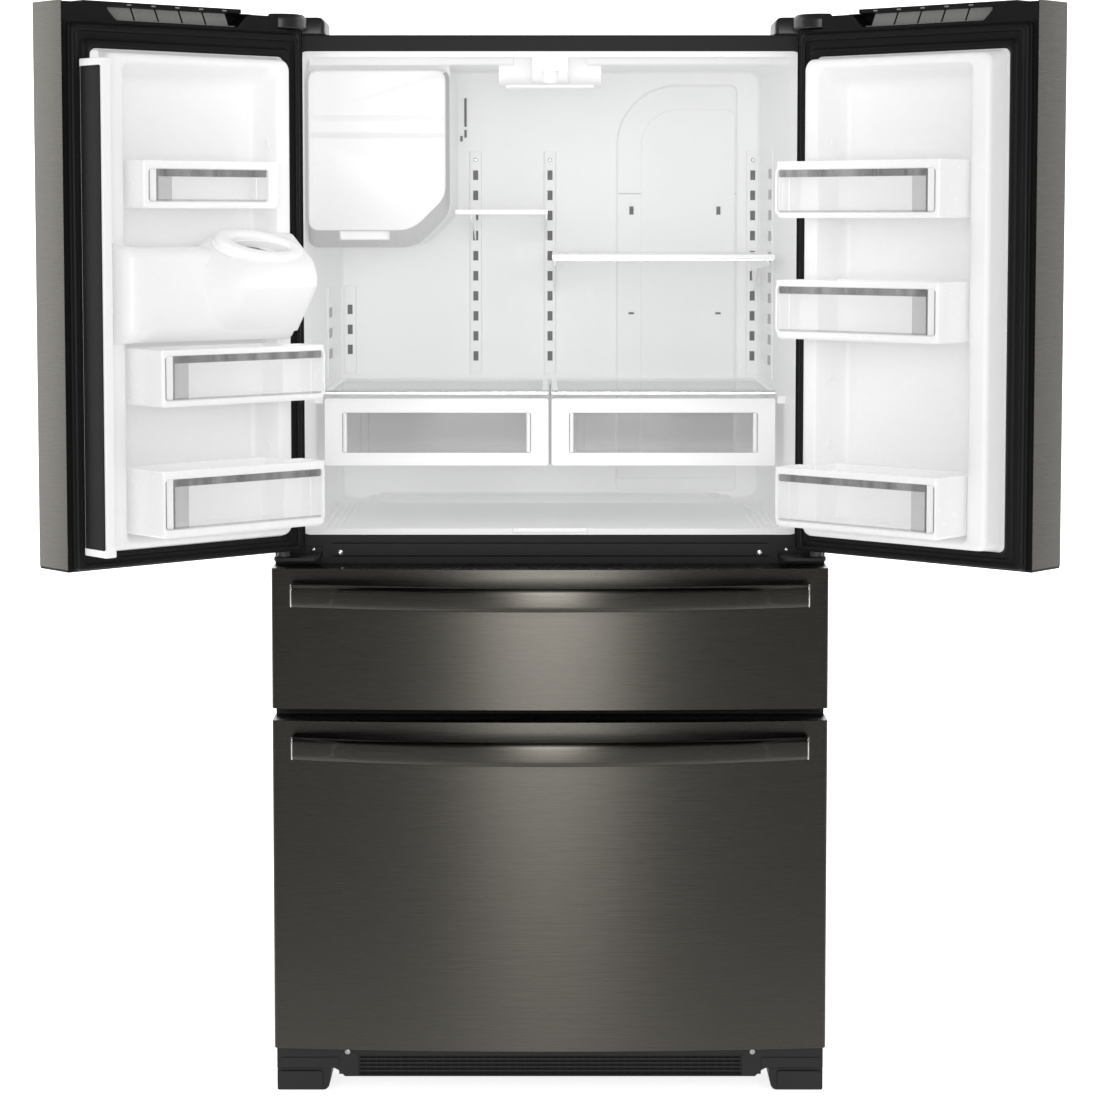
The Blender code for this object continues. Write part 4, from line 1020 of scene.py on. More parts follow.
def binOutline(hingeEnd, reach, inset, radius=0.009):
    front, back, end = reach - inset, inset, doorBin["outer"] - inset
    points = [(end, back), (end, front), (hingeEnd + inset, front)]
    radii = [0.002, 0.005, radius]
    if hingeEnd < doorBin["inner"]:
        points += [(hingeEnd + inset, doorBin["step"] + inset),
                   (doorBin["inner"] + inset, doorBin["step"] + inset), (doorBin["inner"] + inset, back)]
        radii += [0.004, 0.003, 0.002]
    else:
        points += [(hingeEnd + inset, back)]
        radii += [0.002]
    return softCorners(points, radii, 5)


def makeBin(name, node, body, place, low, high, reach, hingeEnd, window):
    wall = doorBin["wall"]
    rings = []
    for inset, z in ((0.0035, low), (0.0008, low + 0.0035), (0.0, high - 0.006), (0.0, high),
                     (wall + 0.0012, high), (wall + 0.0016, high - 0.002),
                     (wall + 0.0026, low + wall + 0.006), (wall + 0.008, low + wall)):
        rings.append(atHeight(binOutline(hingeEnd, reach, inset), z))
    u0, u1, z0, z1 = window

    def plate(a, b, c, d, near, far, corner=0.0008):
        return loft([atDepth(roundRect(a, b, c, d, corner, 4), w) for w in (reach - near, reach - far)])

    piece(name + "Shell", loft(rings), glowingBinWhite, body, place,
          cuts=[plate(u0, u1, z0, z1, 0.014, -0.02, 0.006)], soft=0.0007, replaces=[node], slot="bin_white",
          angle=35)
    piece(name + "Pane", plate(u0 + 0.0002, u1 - 0.0002, z0 + 0.0002, z1 - 0.0002, 0.0036, 0.0012, 0.006),
          clear, body, place, soft=0.0005)
    # folded upper edge of the window, then the thick end where it turns the corner, both drawn as grey bands:
    # painted reflection in the clear plastic
    piece(name + "Band", plate(u0 + 0.001, u1 - 0.018, z1 - 0.0125, z1 - 0.0012, 0.0058, 0.0038, 0.002),
          edgeReflectionGrey, body, place, soft=0.0004)
    ends = ((0.0040, 0.0012, edgeReflectionGrey), (0.0165, 0.0048, glowingBinWhite), (0.0200, 0.0170, edgeReflectionGrey),
            (0.0450, 0.0204, thickReflectionGrey))
    for k, (a, b, look) in enumerate(ends):
        piece(f"{name}End{k}", plate(u1 - a, u1 - b, z0 + 0.0012, z1 - 0.0015, 0.0060, 0.0038), look, body,
              place, soft=0.0003, slot="bin_clear")
    piece(name + "Fin", plate(u0 + 0.020, u0 + 0.0216, z0 + 0.002, z1 - 0.014, 0.0056, 0.0040), glowingBinWhite,
          body, place, soft=0.0003, slot="bin_white")
    # grey strip along the window's foot: painted reflection
    piece(name + "Foot", plate(u0 + 0.001, u1 - 0.001, z0 + 0.0008, z0 + 0.0040, 0.0056, 0.0038), thickReflectionGrey,
          body, place, soft=0.0004)
    piece(name + "Lip", plate(u0 - 0.0030, u1 + 0.0028, z0 - 0.0030, z1 + 0.0030, 0.0004, -0.0005, 0.008),
          glowingBinWhite, body, place, cuts=[plate(u0 - 0.0002, u1 + 0.0002, z0 - 0.0002, z1 + 0.0002, 0.01,
                                             -0.01, 0.006)], soft=0.0004, slot="bin_white")


def makeBins(place, side):
    # each bin: name, bottom, top, reach, hinge end, and its window
    left = (("top", 1.457, 1.529, 0.075, 0.100, (0.124, 0.348, 1.4665, 1.5175)),
            ("middle", 1.157, 1.243, 0.120, 0.048, (0.0535, 0.352, 1.1660, 1.2350)),
            ("bottom", 0.958, 1.060, 0.120, 0.048, (0.0555, 0.3535, 0.9700, 1.0480)))
    right = (("top", 1.442, 1.530, 0.120, 0.048, (0.052, 0.350, 1.4500, 1.5180)),
             ("middle", 1.253, 1.345, 0.120, 0.048, (0.0535, 0.352, 1.2640, 1.3360)),
             ("bottom", 0.956, 1.050, 0.120, 0.048, (0.0555, 0.3535, 0.9650, 1.0400)))
    name = "left" if side < 0 else "right"
    for which, low, high, reach, hingeEnd, window in left if side < 0 else right:
        makeBin(f"{name}Bin{which.title()}", f"{name}_door_bin_{which}", name + "_door", place, low, high,
                reach, hingeEnd, window)


chute = {"u": 0.150, "w": 0.088, "z": 1.402, "mouth": (0.054, 0.018), "ring": (0.081, 0.0365), "roll": 5.5}


def makeChute(place):
    slope, roll = math.atan2(0.053, 0.074), math.radians(chute["roll"])
    long = Vector((math.cos(roll), 0, math.sin(roll)))
    run = Vector((0, math.cos(slope), -math.sin(slope)))
    along = long.cross(run).normalized()
    centre = Vector((chute["u"], chute["w"], chute["z"]))

    def oval(halfU, halfRun, rise, steps=56):
        points = []
        for i in range(steps):
            a = 2 * math.pi * i / steps
            points.append(tuple(centre + long * halfU * math.cos(a) + run * halfRun * math.sin(a) + along
                                * rise))
        return points

    # body: a bulge on the block, its far side slanting back and its underside sloping to the block
    profile = softCorners([(0.066, 1.262), (0.100, 1.300), (0.1275, 1.336), (0.1295, 1.352), (0.118, 1.374),
                           (0.052, 1.420), (0.038, 1.4140), (0.038, 1.3900), (0.066, 1.3900)],
                          [0.004, 0.014, 0.005, 0.012, 0.014, 0.012, 0.004, 0.003, 0.004], 6)
    stations = [(0.0640, 0.80, 0.985), (0.0655, 0.90, 0.99), (0.070, 0.97, 1.0), (0.078, 1.0, 1.0),
                (0.196, 1.0, 1.0), (0.206, 0.985, 0.99), (0.218, 0.80, 0.93), (0.230, 0.55, 0.84),
                (0.241, 0.30, 0.74), (0.250, 0.02, 0.68)]
    sections = []
    for u, reach, scale in stations:
        sections.append([(u, 0.066 + (w - 0.066) * reach if w > 0.066 else w, 1.33 + (z - 1.33) * scale)
                         for w, z in profile])
    inside = chute["mouth"]
    hollow = loft([oval(inside[0] - 0.002, inside[1] - 0.002, -0.030), oval(inside[0], inside[1], 0.03)])
    piece("chuteBody", loft(sections), white, "left_door", place, cuts=[hollow], soft=0.0020, segments=3,
          replaces=["left_door_ice_chute"], angle=35)
    ring = chute["ring"]
    steps = [(-0.0020, -0.0165), (0.0022, -0.0150), (0.0030, -0.0110), (0.0010, -0.0085),
             (-0.0012, -0.0075), (0.0, -0.0055), (0.0012, -0.0020), (-0.0002, 0.0012), (-0.0040, 0.0030),
             (-0.0110, 0.0034)]
    lips = [oval(ring[0] + grow, ring[1] + grow, rise) for grow, rise in steps]
    lips += [oval(inside[0] + 0.006, inside[1] + 0.006, 0.0028),
             oval(inside[0] + 0.0015, inside[1] + 0.0015, 0.0008), oval(inside[0], inside[1], -0.0030),
             oval(inside[0] - 0.001, inside[1] - 0.001, -0.020),
             oval(inside[0] + 0.004, inside[1] + 0.004, -0.0205)]
    piece("chuteRing", loft(lips, closed=True), glowingBinWhite, "left_door", place, slot="liner_white", angle=60)
    # the flap and the hub in the mouth are grey: painted shade inside the chute
    piece("chuteFlap", loft([oval(inside[0] - 0.0024, inside[1] - 0.0024, -0.0190),
                             oval(inside[0] - 0.0024, inside[1] - 0.0024, -0.0175)]), shadeAndScreenGrey, "left_door",
          place, slot="liner_white")
    piece("chuteHub", loft([oval(0.016, 0.006, -0.0176), oval(0.013, 0.005, -0.0150)]), shade, "left_door",
          place, soft=0.0008)


def makeMullion():
    low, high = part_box("mullion")
    place = doorFrame(-1)
    reach = 0.056
    z0, z1 = low.z, high.z

    def strip(a, b, z):
        # a runs away from the door along the strip, b across it from the black face to the white one
        base = Vector(place(0.425, 0.020 + a, z))
        across = (Vector(place(0.425 - 0.1, 0.020 + a, z)) - base).normalized()
        return tuple(base + across * b)

    rings = softCorners([(-0.002, -0.0060), (reach - 0.003, -0.0060), (reach, -0.0040), (reach, 0.0100),
                         (reach - 0.004, 0.0123), (0.004, 0.0123), (-0.002, 0.0100)],
                        [0.001, 0.002, 0.002, 0.003, 0.004, 0.003, 0.002], 4)
    piece("mullionBody", prism("z", rings, z0, z1), white, "mullion", strip, soft=0.0010,
          replaces=["mullion"])
    face = softCorners([(0.0008, -0.0062), (0.0012, -0.0076), (reach - 0.0030, -0.0076),
                        (reach - 0.0024, -0.0062)], 0.0006, 3)
    piece("mullionFace", prism("z", face, z0 + 0.004, z1 - 0.004), capBlack, "mullion", strip, soft=0.0004)
    for k, (a, b) in enumerate(((z0 - 0.0004, z0 + 0.0120), (z1 - 0.0120, z1 + 0.0004))):
        cap = softCorners([(-0.0022, -0.0077), (reach + 0.0002, -0.0077), (reach + 0.0002, 0.0126),
                           (-0.0022, 0.0126)], 0.003, 4)
        piece(f"mullionEnd{k}", prism("z", cap, a, b), white, "mullion", strip, soft=0.0016)
    pin = loft([[strip(a, b, z) for a, b in disc(0.024, 0.003, r, 16)]
                for z, r in ((z1, 0.0070), (z1 + 0.009, 0.0066), (z1 + 0.0125, 0.0045))])
    piece("mullionPin", pin, white, "mullion", asGiven, soft=0.0012)
    for k, z in enumerate((z0 + 0.085, (z0 + z1) / 2, z1 - 0.085)):
        knuckle = loft([[strip(a, b, zz) for a, b in disc(-0.001, 0.002, 0.0052, 14)]
                        for zz in (z - 0.020, z + 0.020)])
        piece(f"mullionKnuckle{k}", knuckle, white, "mullion", asGiven, soft=0.0010)


bar = {"u": 0.398, "half": 0.012, "low": 1.010, "high": 1.665, "foot": 0.022, "thick": 0.010}


def makeDoorHandle(name, place):
    middle, half = (bar["low"] + bar["high"]) / 2, (bar["high"] - bar["low"]) / 2
    face = max(faceW(bar["u"] - bar["half"]), faceW(bar["u"] + bar["half"]))

    def out(z):
        return face - 0.058 + 0.030 * ((z - middle) / half) ** 2

    rings = []
    for z in spread(bar["low"] + 0.001, bar["high"] - 0.001, 40):
        w = out(z)
        section = softCorners([(bar["u"] - bar["half"], w + bar["thick"]),
                               (bar["u"] - bar["half"], w + 0.003), (bar["u"] - bar["half"] + 0.004, w),
                               (bar["u"] + bar["half"] - 0.004, w), (bar["u"] + bar["half"], w + 0.003),
                               (bar["u"] + bar["half"], w + bar["thick"])], 0.0025, 3)
        rings.append(atHeight(section, z))
    piece(name + "HandleBar", loft(rings), handleSteel, name, place, soft=0.0008,
          replaces=[name + "_handle"], angle=40)
    for k, z in enumerate((bar["low"], bar["high"] - bar["foot"])):
        w = out(z + bar["foot"] / 2) + 0.004
        near = faceW(bar["u"] - bar["half"]) - 0.0004
        post = prism("z", softCorners([(bar["u"] - bar["half"] + 0.001, w),
                                       (bar["u"] + bar["half"] - 0.001, w),
                                       (bar["u"] + bar["half"] - 0.001, near),
                                       (bar["u"] - bar["half"] + 0.001, near)], 0.003, 3), z + 0.0005,
                     z + bar["foot"] - 0.0005)
        piece(f"{name}HandlePost{k}", post, handleSteel, name, place, soft=0.002)
        piece(f"{name}HandleEnd{k}", cell(bar["u"] - bar["half"] + 0.0008, bar["u"] + bar["half"] - 0.0008,
                                          out(bar["low"] if k == 0 else bar["high"]) + 0.0012,
                                          near - 0.0006,
                                          (bar["low"] - 0.0002) if k == 0 else (bar["high"] - 0.0014),
                                          (bar["low"] + 0.0014) if k == 0 else (bar["high"] + 0.0002)),
              chrome, name, place, soft=0.0005)


def makeDispenser(place):
    u0, u1, z0, z1, back = 0.135, 0.315, 1.060, 1.420, -0.032
    high = z1 - 0.110
    edge = min(faceW(u0), faceW(u1)) - 0.0008
    shell = loft([atDepth(roundRect(u0, u1, z0, z1, 0.008, 5), w) for w in (edge, back)])
    hollow = loft([atDepth(roundRect(u0 + 0.008 + inset, u1 - 0.008 - inset, z0 + 0.010 + inset,
                                     high - inset, 0.014, 6), w) for w, inset in ((-0.2, 0.0),
            (-0.075, 0.0), (back - 0.004, 0.006))])
    piece("dispenserShell", shell, gloss, "left_door", place, cuts=[hollow], soft=0.0014,
          replaces=["left_door_dispenser_bay"])
    # control face: six touch marks and a small display, without words
    plate = loft([atDepth(roundRect(u0 + 0.006, u1 - 0.006, high + 0.010, z1 - 0.008, 0.006, 5), w)
                  for w in (edge - 0.0010, edge + 0.002)])
    piece("controlPlate", plate, gloss, "left_door", place, soft=0.0006)
    for k, u in enumerate(spread(u0 + 0.024, u1 - 0.024, 5)):
        mark = loft([atDepth(disc(u, high + 0.030, 0.0050, 20), w) for w in (edge - 0.0013, edge - 0.0008)])
        piece(f"controlMark{k}", mark, silver, "left_door", place, slot="dispenser_black")
    screen = loft([atDepth(roundRect(u0 + 0.055, u1 - 0.055, high + 0.055, z1 - 0.022, 0.003, 3), w)
                   for w in (edge - 0.0013, edge - 0.0006)])
    piece("controlScreen", screen, shadeAndScreenGrey, "left_door", place, soft=0.0002, slot="dispenser_black")
    # slotted tray, spout and water pipe
    tray = cell(u0 + 0.014, u1 - 0.014, -0.078, back - 0.008, z0 + 0.0108, z0 + 0.0150)
    slots = [cell(u, u + 0.0045, -0.074, back - 0.012, z0, z0 + 0.03)
             for u in spread(u0 + 0.022, u1 - 0.028, 13)]
    piece("dispenserTray", tray, trimBlack, "left_door", place, cuts=[together(slots)], soft=0.0005,
          slot="dispenser_black")
    spout = loft([atHeight(disc(0.225, -0.058, r, 24), z)
                  for z, r in ((high + 0.001, 0.019), (high - 0.008, 0.018), (high - 0.012, 0.016))])
    piece("dispenserSpout", spout, trimBlack, "left_door", place, soft=0.0010, slot="dispenser_black")
    tube = loft([atHeight(disc(0.200, -0.062, r, 16), z)
                 for z, r in ((high + 0.001, 0.004), (high - 0.018, 0.0036))])
    piece("dispenserTube", tube, silver, "left_door", place, soft=0.0006, slot="dispenser_black")
    # the paddle
    axisW, axisZ = back - 0.022, high - 0.008
    rings = []
    for z, w, half, thick in ((0.004, 0.0, 0.0235, 0.0035), (-0.020, 0.0, 0.0235, 0.0035),
                              (-0.060, -0.0005, 0.0240, 0.0038), (-0.085, -0.0020, 0.0240, 0.0040),
                              (-0.105, -0.0045, 0.0215, 0.0034)):
        rings.append([(0.225 + a, axisW + w + b, axisZ + z)
                      for a, b in softCorners([(-half, -thick), (half, -thick), (half, thick),
                                               (-half, thick)], 0.0025, 3)])
    piece("paddleBody", loft(rings), nylon, "dispenser_paddle", place, soft=0.0012,
          replaces=["dispenser_paddle"])
    for k in range(5):
        z = axisZ - 0.045 - 0.010 * k
        piece(f"paddleRib{k}", cell(0.2085, 0.2415, axisW - 0.0058, axisW - 0.0030, z - 0.0016, z + 0.0016),
              nylon, "dispenser_paddle", place, soft=0.0007)


def makeHinges():
    for side, name in ((-1, "left"), (1, "right")):
        pivotX, pivotY = side * (halfWidth - door["pivotU"]), -0.048
        headRadius = 0.043
        inner, outer = side * 0.366, side * 0.449
        flat = softCorners([(outer, -0.0055), (outer, 0.108), (inner, 0.108), (inner, -0.0055)], 0.008, 4)
        crown = softCorners([(outer - side * 0.006, -0.003), (outer - side * 0.006, 0.100),
                             (inner + side * 0.006, 0.100), (inner + side * 0.006, -0.003)], 0.010, 4)
        piece(f"hingeCover{name}", loft([atHeight(flat, caseTop + 0.0004), atHeight(flat, 1.7600),
                                         atHeight(crown, 1.7675)]), hingeBlack, "cabinet", soft=0.003,
              segments=3, replaces=["hinge_cover_" + name])
        # round head over the pin, cut off level with the case's side
        turns = [math.radians(-67.5 - 190 * i / 22) for i in range(23)]
        head = [(pivotX + side * headRadius * math.cos(a), pivotY + headRadius * math.sin(a)) for a in turns]
        head = [(pivotX + side * 0.0164, 0.004), *head, (pivotX - side * 0.0093, 0.004)]
        tip = [(pivotX + (x - pivotX) * 0.90, pivotY + (y - pivotY) * 0.90) for x, y in head]
        piece(f"hingeNose{name}", loft([atHeight(head, 1.7440), atHeight(head, 1.7610),
                                        atHeight(tip, 1.7680)]), hingeBlack, "cabinet", soft=0.0030,
              segments=4)
        piece(f"hingePin{name}", prism("z", disc(pivotX, pivotY, 0.0048, 20), 1.730, 1.746), zinc, "cabinet",
              soft=0.0006)
        cap = prism("z", disc(pivotX, pivotY, 0.0105, 28), 1.7655, 1.7685)
        piece(f"hingeCap{name}", cap, trimBlack, "cabinet", soft=0.0010)
        # lower bracket: a black steel plate, its bushing and two bolts
        edge = sorted((side * 0.449, side * 0.375))
        plan = softCorners([(edge[0], -0.074), (edge[1], -0.074), (edge[1], -0.0004), (edge[0], -0.0004)],
                           [0.012, 0.012, 0.001, 0.001], 5)
        piece(f"hingeLower{name}", prism("z", plan, 0.8862, 0.8918), frameBlack, "cabinet", soft=0.0012,
              replaces=["hinge_lower_" + name], slot="hinge_steel")
        upright = prism("y", roundRect(edge[0], edge[1], 0.8790, 0.9030, 0.003, 4), -0.0036, -0.0004)
        piece(f"hingeUpright{name}", upright, frameBlack, "cabinet", soft=0.0008, slot="hinge_steel")
        piece(f"hingeBush{name}", loft([atHeight(disc(pivotX, pivotY, r, 24), z)
                                        for z, r in ((0.8915, 0.0110), (0.9015, 0.0106))]), nylon,
              "cabinet", soft=0.0008, slot="hinge_steel")
        piece(f"hingeLowPin{name}", loft([atHeight(disc(pivotX, pivotY, r, 20), z)
                                          for z, r in ((0.9010, 0.0058), (0.9110, 0.0054),
                                                       (0.9130, 0.0040))]), zinc, "cabinet", soft=0.0004)
        for k, x in enumerate((edge[0] + 0.014, edge[1] - 0.014)):
            screwHead(f"hingeBolt{name}{k}", x, -0.0036, 0.8975, "cabinet", radius=0.0036)


drawer = {"bow": 0.022, "face": 0.095, "gap": 0.012, "edge": 0.006}
grip = {"half": 0.420, "high": 0.040, "out": 0.158, "rise": 0.059, "thick": 0.010, "foot": 0.020,
        "down": 0.022}


def drawerFace(x):
    return -drawer["face"] + drawer["bow"] * (x / halfWidth) ** 2


def drawerOutline(inset):
    end = halfWidth - inset
    points = [(-end, -drawer["gap"])]
    r = drawer["edge"]
    base = drawerFace(end - r) + inset
    for i in range(6):
        a = math.pi / 2 * i / 5
        points.append((-end + r * (1 - math.cos(a)), base + r * (1 - math.sin(a))))
    for x in spread(-end + r + 0.012, end - r - 0.012, 44):
        points.append((x, drawerFace(x) + inset))
    for i in range(6):
        a = math.pi / 2 * (5 - i) / 5
        points.append((end - r * (1 - math.cos(a)), base + r * (1 - math.sin(a))))
    points.append((end, -drawer["gap"]))
    return points


def makeDrawer(name, body):
    low, high = nodeSpan(body + "_front")
    z0, z1 = low[2], high[2]
    outer, inner = drawerOutline(0.0), drawerOutline(0.0015)
    hollow = loft([[(x, y if y < -drawer["gap"] - 0.001 else 0.02, z) for x, y in inner]
                   for z in (z0 + 0.0015, z1 - 0.0015)])
    piece(name + "Front", prism("z", outer, z0, z1), steel, body, cuts=[hollow], soft=0.0012,
          replaces=[body + "_front"], angle=45)
    # inner panel and its gasket
    a, b = nodeSpan(body + "_panel")
    piece(name + "Panel", slab((a[0], -0.0200, a[2]), (b[0], -0.0110, b[2])), capBlack, body, soft=0.0015,
          replaces=[body + "_panel"])
    section = [(0.0, -0.0110), (0.0004, -0.0060), (0.0030, -0.0035), (0.0110, -0.0035), (0.0130, -0.0060),
               (0.0134, -0.0110)]
    rings = [atDepth(roundRect(a[0] + 0.014 + i, b[0] - 0.014 - i, a[2] + 0.010 + i, b[2] - 0.010 - i,
                               0.010, 5), y) for i, y in section]
    piece(name + "Gasket", loft(rings, closed=True), rubber, body, soft=0.0004, angle=35)
    piece(name + "Inner", loft([atDepth(roundRect(a[0] + 0.030 + i, b[0] - 0.030 - i, a[2] + 0.026 + i,
                                                  b[2] - 0.026 - i, 0.012, 5), y)
                                for i, y in ((0.0, -0.0112), (0.0, -0.0060), (0.004, -0.0036))]), white,
          body, soft=0.001)
    makeDrawerHandle(name, body, z1 - grip["down"] - grip["high"])
    makeTub(name + "Tub", body + "_tub", body, glowingBinWhite, "bin_white", 0.010)
    # runners along the tub
    tubHigh = nodeSpan(body + "_tub")[1]
    for side in (-1, 1):
        x = side * (tubHigh[0] + 0.0012)
        xs = sorted((x, x + side * 0.0070))
        runnerZ = tubHigh[2] - 0.045 if name == "middle" else tubHigh[2] - 0.110
        section = softCorners([(xs[0], runnerZ - 0.016), (xs[1], runnerZ - 0.016), (xs[1], runnerZ + 0.016),
                               (xs[0], runnerZ + 0.016)], 0.003, 3)
        piece(f"{name}Runner{side + 1}", prism("y", section, 0.006, tubHigh[1] - 0.004), zinc, body,
              soft=0.0008)


def makeTub(name, node, body, look, slot, corner):
    low, high = nodeSpan(node)
    wall = 0.003
    rings = []
    for inset, z in ((0.014, low[2]), (0.005, low[2] + 0.004), (0.0015, low[2] + 0.016),
                     (0.0, high[2] - 0.008), (0.0, high[2]), (wall + 0.001, high[2]),
                     (wall + 0.001, high[2] - 0.006), (wall + 0.0025, low[2] + 0.018),
                     (wall + 0.010, low[2] + 0.007), (wall + 0.020, low[2] + wall)):
        rings.append(atHeight(roundRect(low[0] + inset, high[0] - inset, low[1] + inset, high[1] - inset,
                                        corner + 0.010, 5), z))
    piece(name, loft(rings), look, body, replaces=[node], slot=slot, angle=40)
    for side in (-1, 1):
        for k, y in enumerate(spread(low[1] + 0.06, high[1] - 0.06, 4)):
            x = side * (high[0] - 0.0030)
            xs = sorted((x - side * 0.004, x))
            piece(f"{name}Rib{side + 1}{k}", slab((xs[0], y - 0.0015, low[2] + 0.020),
                                                  (xs[1], y + 0.0015, high[2] - 0.012)), look, body,
                  soft=0.0005, slot=slot)


def makeDrawerHandle(name, body, z0):
    z1 = z0 + grip["high"]
    mid = (z0 + z1) / 2

    def out(x):
        return -grip["out"] + grip["rise"] * (x / grip["half"]) ** 2

    end = grip["half"] - 0.0016
    rings = []
    for x in spread(-end, end, 60):
        y = out(x)
        section = softCorners([(y + grip["thick"], z0 + 0.002), (y + 0.0035, z0), (y, z0 + 0.006),
                               (y - 0.0004, mid), (y, z1 - 0.006), (y + 0.0035, z1),
                               (y + grip["thick"], z1 - 0.002)], [0.002, 0.003, 0.006, 0.012, 0.006, 0.003,
                0.002], 4)
        rings.append(atSide(section, x))
    piece(name + "HandleBar", loft(rings), handleSteel, body, soft=0.0006, replaces=[body + "_handle"],
          angle=50)
    for side in (-1, 1):
        # the end post, then a polished plate over the bar's cut end
        xa, xb = side * (end - grip["foot"] + 0.004), side * (end - 0.0002)
        near = drawerFace(xb) - 0.0006
        post = softCorners([(xa, out(xa) + 0.006), (xb, out(xb) + 0.006), (xb, near),
                            (xa, drawerFace(xa) - 0.0006)], 0.002, 3)
        piece(f"{name}HandlePost{side + 1}", prism("z", post, z0 + 0.0022, z1 - 0.0022), handleSteel, body,
              soft=0.0016)
        xs = sorted((side * (grip["half"] - 0.0022), side * (grip["half"] + 0.0002)))
        plate = loft([atSide(roundRect(out(grip["half"]) - 0.0002, near, z0 + 0.0006, z1 - 0.0006, 0.004,
                                       4), x) for x in xs])
        piece(f"{name}HandleEnd{side + 1}", plate, chrome, body, soft=0.0006)


def makeDrawers():
    makeDrawer("middle", "middle_drawer")
    makeDrawer("freezer", "freezer_drawer")
    makeTub("freezerTray", "freezer_tray", "freezer_tray", glowingBinWhite, "bin_white", 0.012)
    # dark reveal strips on the case behind the gaps between the drawers
    piece("drawerReveal", prism("x", softCorners([(-0.0002, 0.6270), (-0.0060, 0.6290), (-0.0060, 0.6420),
                                                  (-0.0002, 0.6440)], 0.0015), -0.448, 0.448), frameBlack,
          "cabinet", soft=0.0008)


def makeBase():
    low, high = nodeSpan("base_grille")
    half, footIn, step = halfWidth - 0.001, 0.362, 0.0376
    outline = [(-half, step), (-footIn + 0.004, step), (-footIn + 0.010, step - 0.003),
               (-footIn + 0.014, low[2] + 0.008), (-footIn + 0.022, low[2]), (footIn - 0.022, low[2]),
               (footIn - 0.014, low[2] + 0.008), (footIn - 0.010, step - 0.003), (footIn - 0.004, step),
               (half, step), (half, high[2]), (-half, high[2])]
    field = slab((-0.3175, -0.060, 0.0262), (0.3175, -0.0375, 0.0608))
    slots = []
    for k in range(5):
        slots.append(slab((-0.3155, -0.06, 0.0275 + 0.0066 * k),
                          (0.3155, -0.02, 0.0275 + 0.0066 * k + 0.0034)))
    piece("baseGrille", prism("y", outline, low[1], high[1]), trimBlack, "cabinet",
          cuts=[field, together(slots)], soft=0.0008, replaces=["base_grille"])
    for k, x in enumerate(spread(-0.3155, 0.3155, 46)):
        piece(f"grilleRib{k}", slab((x - 0.0007, -0.0372, 0.0265), (x + 0.0007, -0.0345, 0.0605)),
              trimBlack, "cabinet", soft=0.0002)
    piece("grilleBacking", slab((-0.350, -0.0325, 0.0250), (0.350, -0.0305, 0.0700)), trimBlack, "cabinet",
          soft=0.0004)
    lip = softCorners([(-0.0400, 0.0640), (-0.0418, 0.0650), (-0.0418, 0.0690), (-0.0400, 0.0700)], 0.0006, 3)
    piece("grilleLine", prism("x", lip, -0.330, 0.330), trimBlack, "cabinet")
    for side in (-1, 1):
        screwHead(f"grilleScrew{side + 1}", side * 0.3350, -0.0400, 0.0655, "cabinet", radius=0.0050,
                  look=zinc)
        name = "left" if side < 0 else "right"
        a = side * half
        b = side * footIn
        plan = softCorners([(a, 0.0), (b + side * 0.010, 0.0), (b + side * 0.004, 0.006), (b, 0.030),
                            (b, 0.0370), (a, 0.0370)], [0.003, 0.004, 0.004, 0.006, 0.001, 0.002], 4)
        piece(f"foot{name}", prism("y", plan, -0.038, 0.055), trimBlack, "cabinet", soft=0.0016,
              replaces=["foot_" + name])
        xs = sorted((side * 0.4490, side * 0.3760))
        piece(f"footBlock{name}", prism("y", roundRect(xs[0], xs[1], 0.0030, 0.0330, 0.005, 4), -0.0410,
                                        -0.0370), trimBlack, "cabinet", soft=0.0014)
        piece(f"footLeg{name}", prism("z", disc(side * 0.412, 0.020, 0.0125, 28), 0.0010, 0.0460), zinc,
              "cabinet", soft=0.0010)
        xs = sorted((side * 0.4480, side * 0.3500))
        piece(f"grilleStep{name}", prism("y", roundRect(xs[0], xs[1], 0.0385, 0.0560, 0.003, 3), -0.0414,
                                         -0.0398), trimBlack, "cabinet", soft=0.0008)


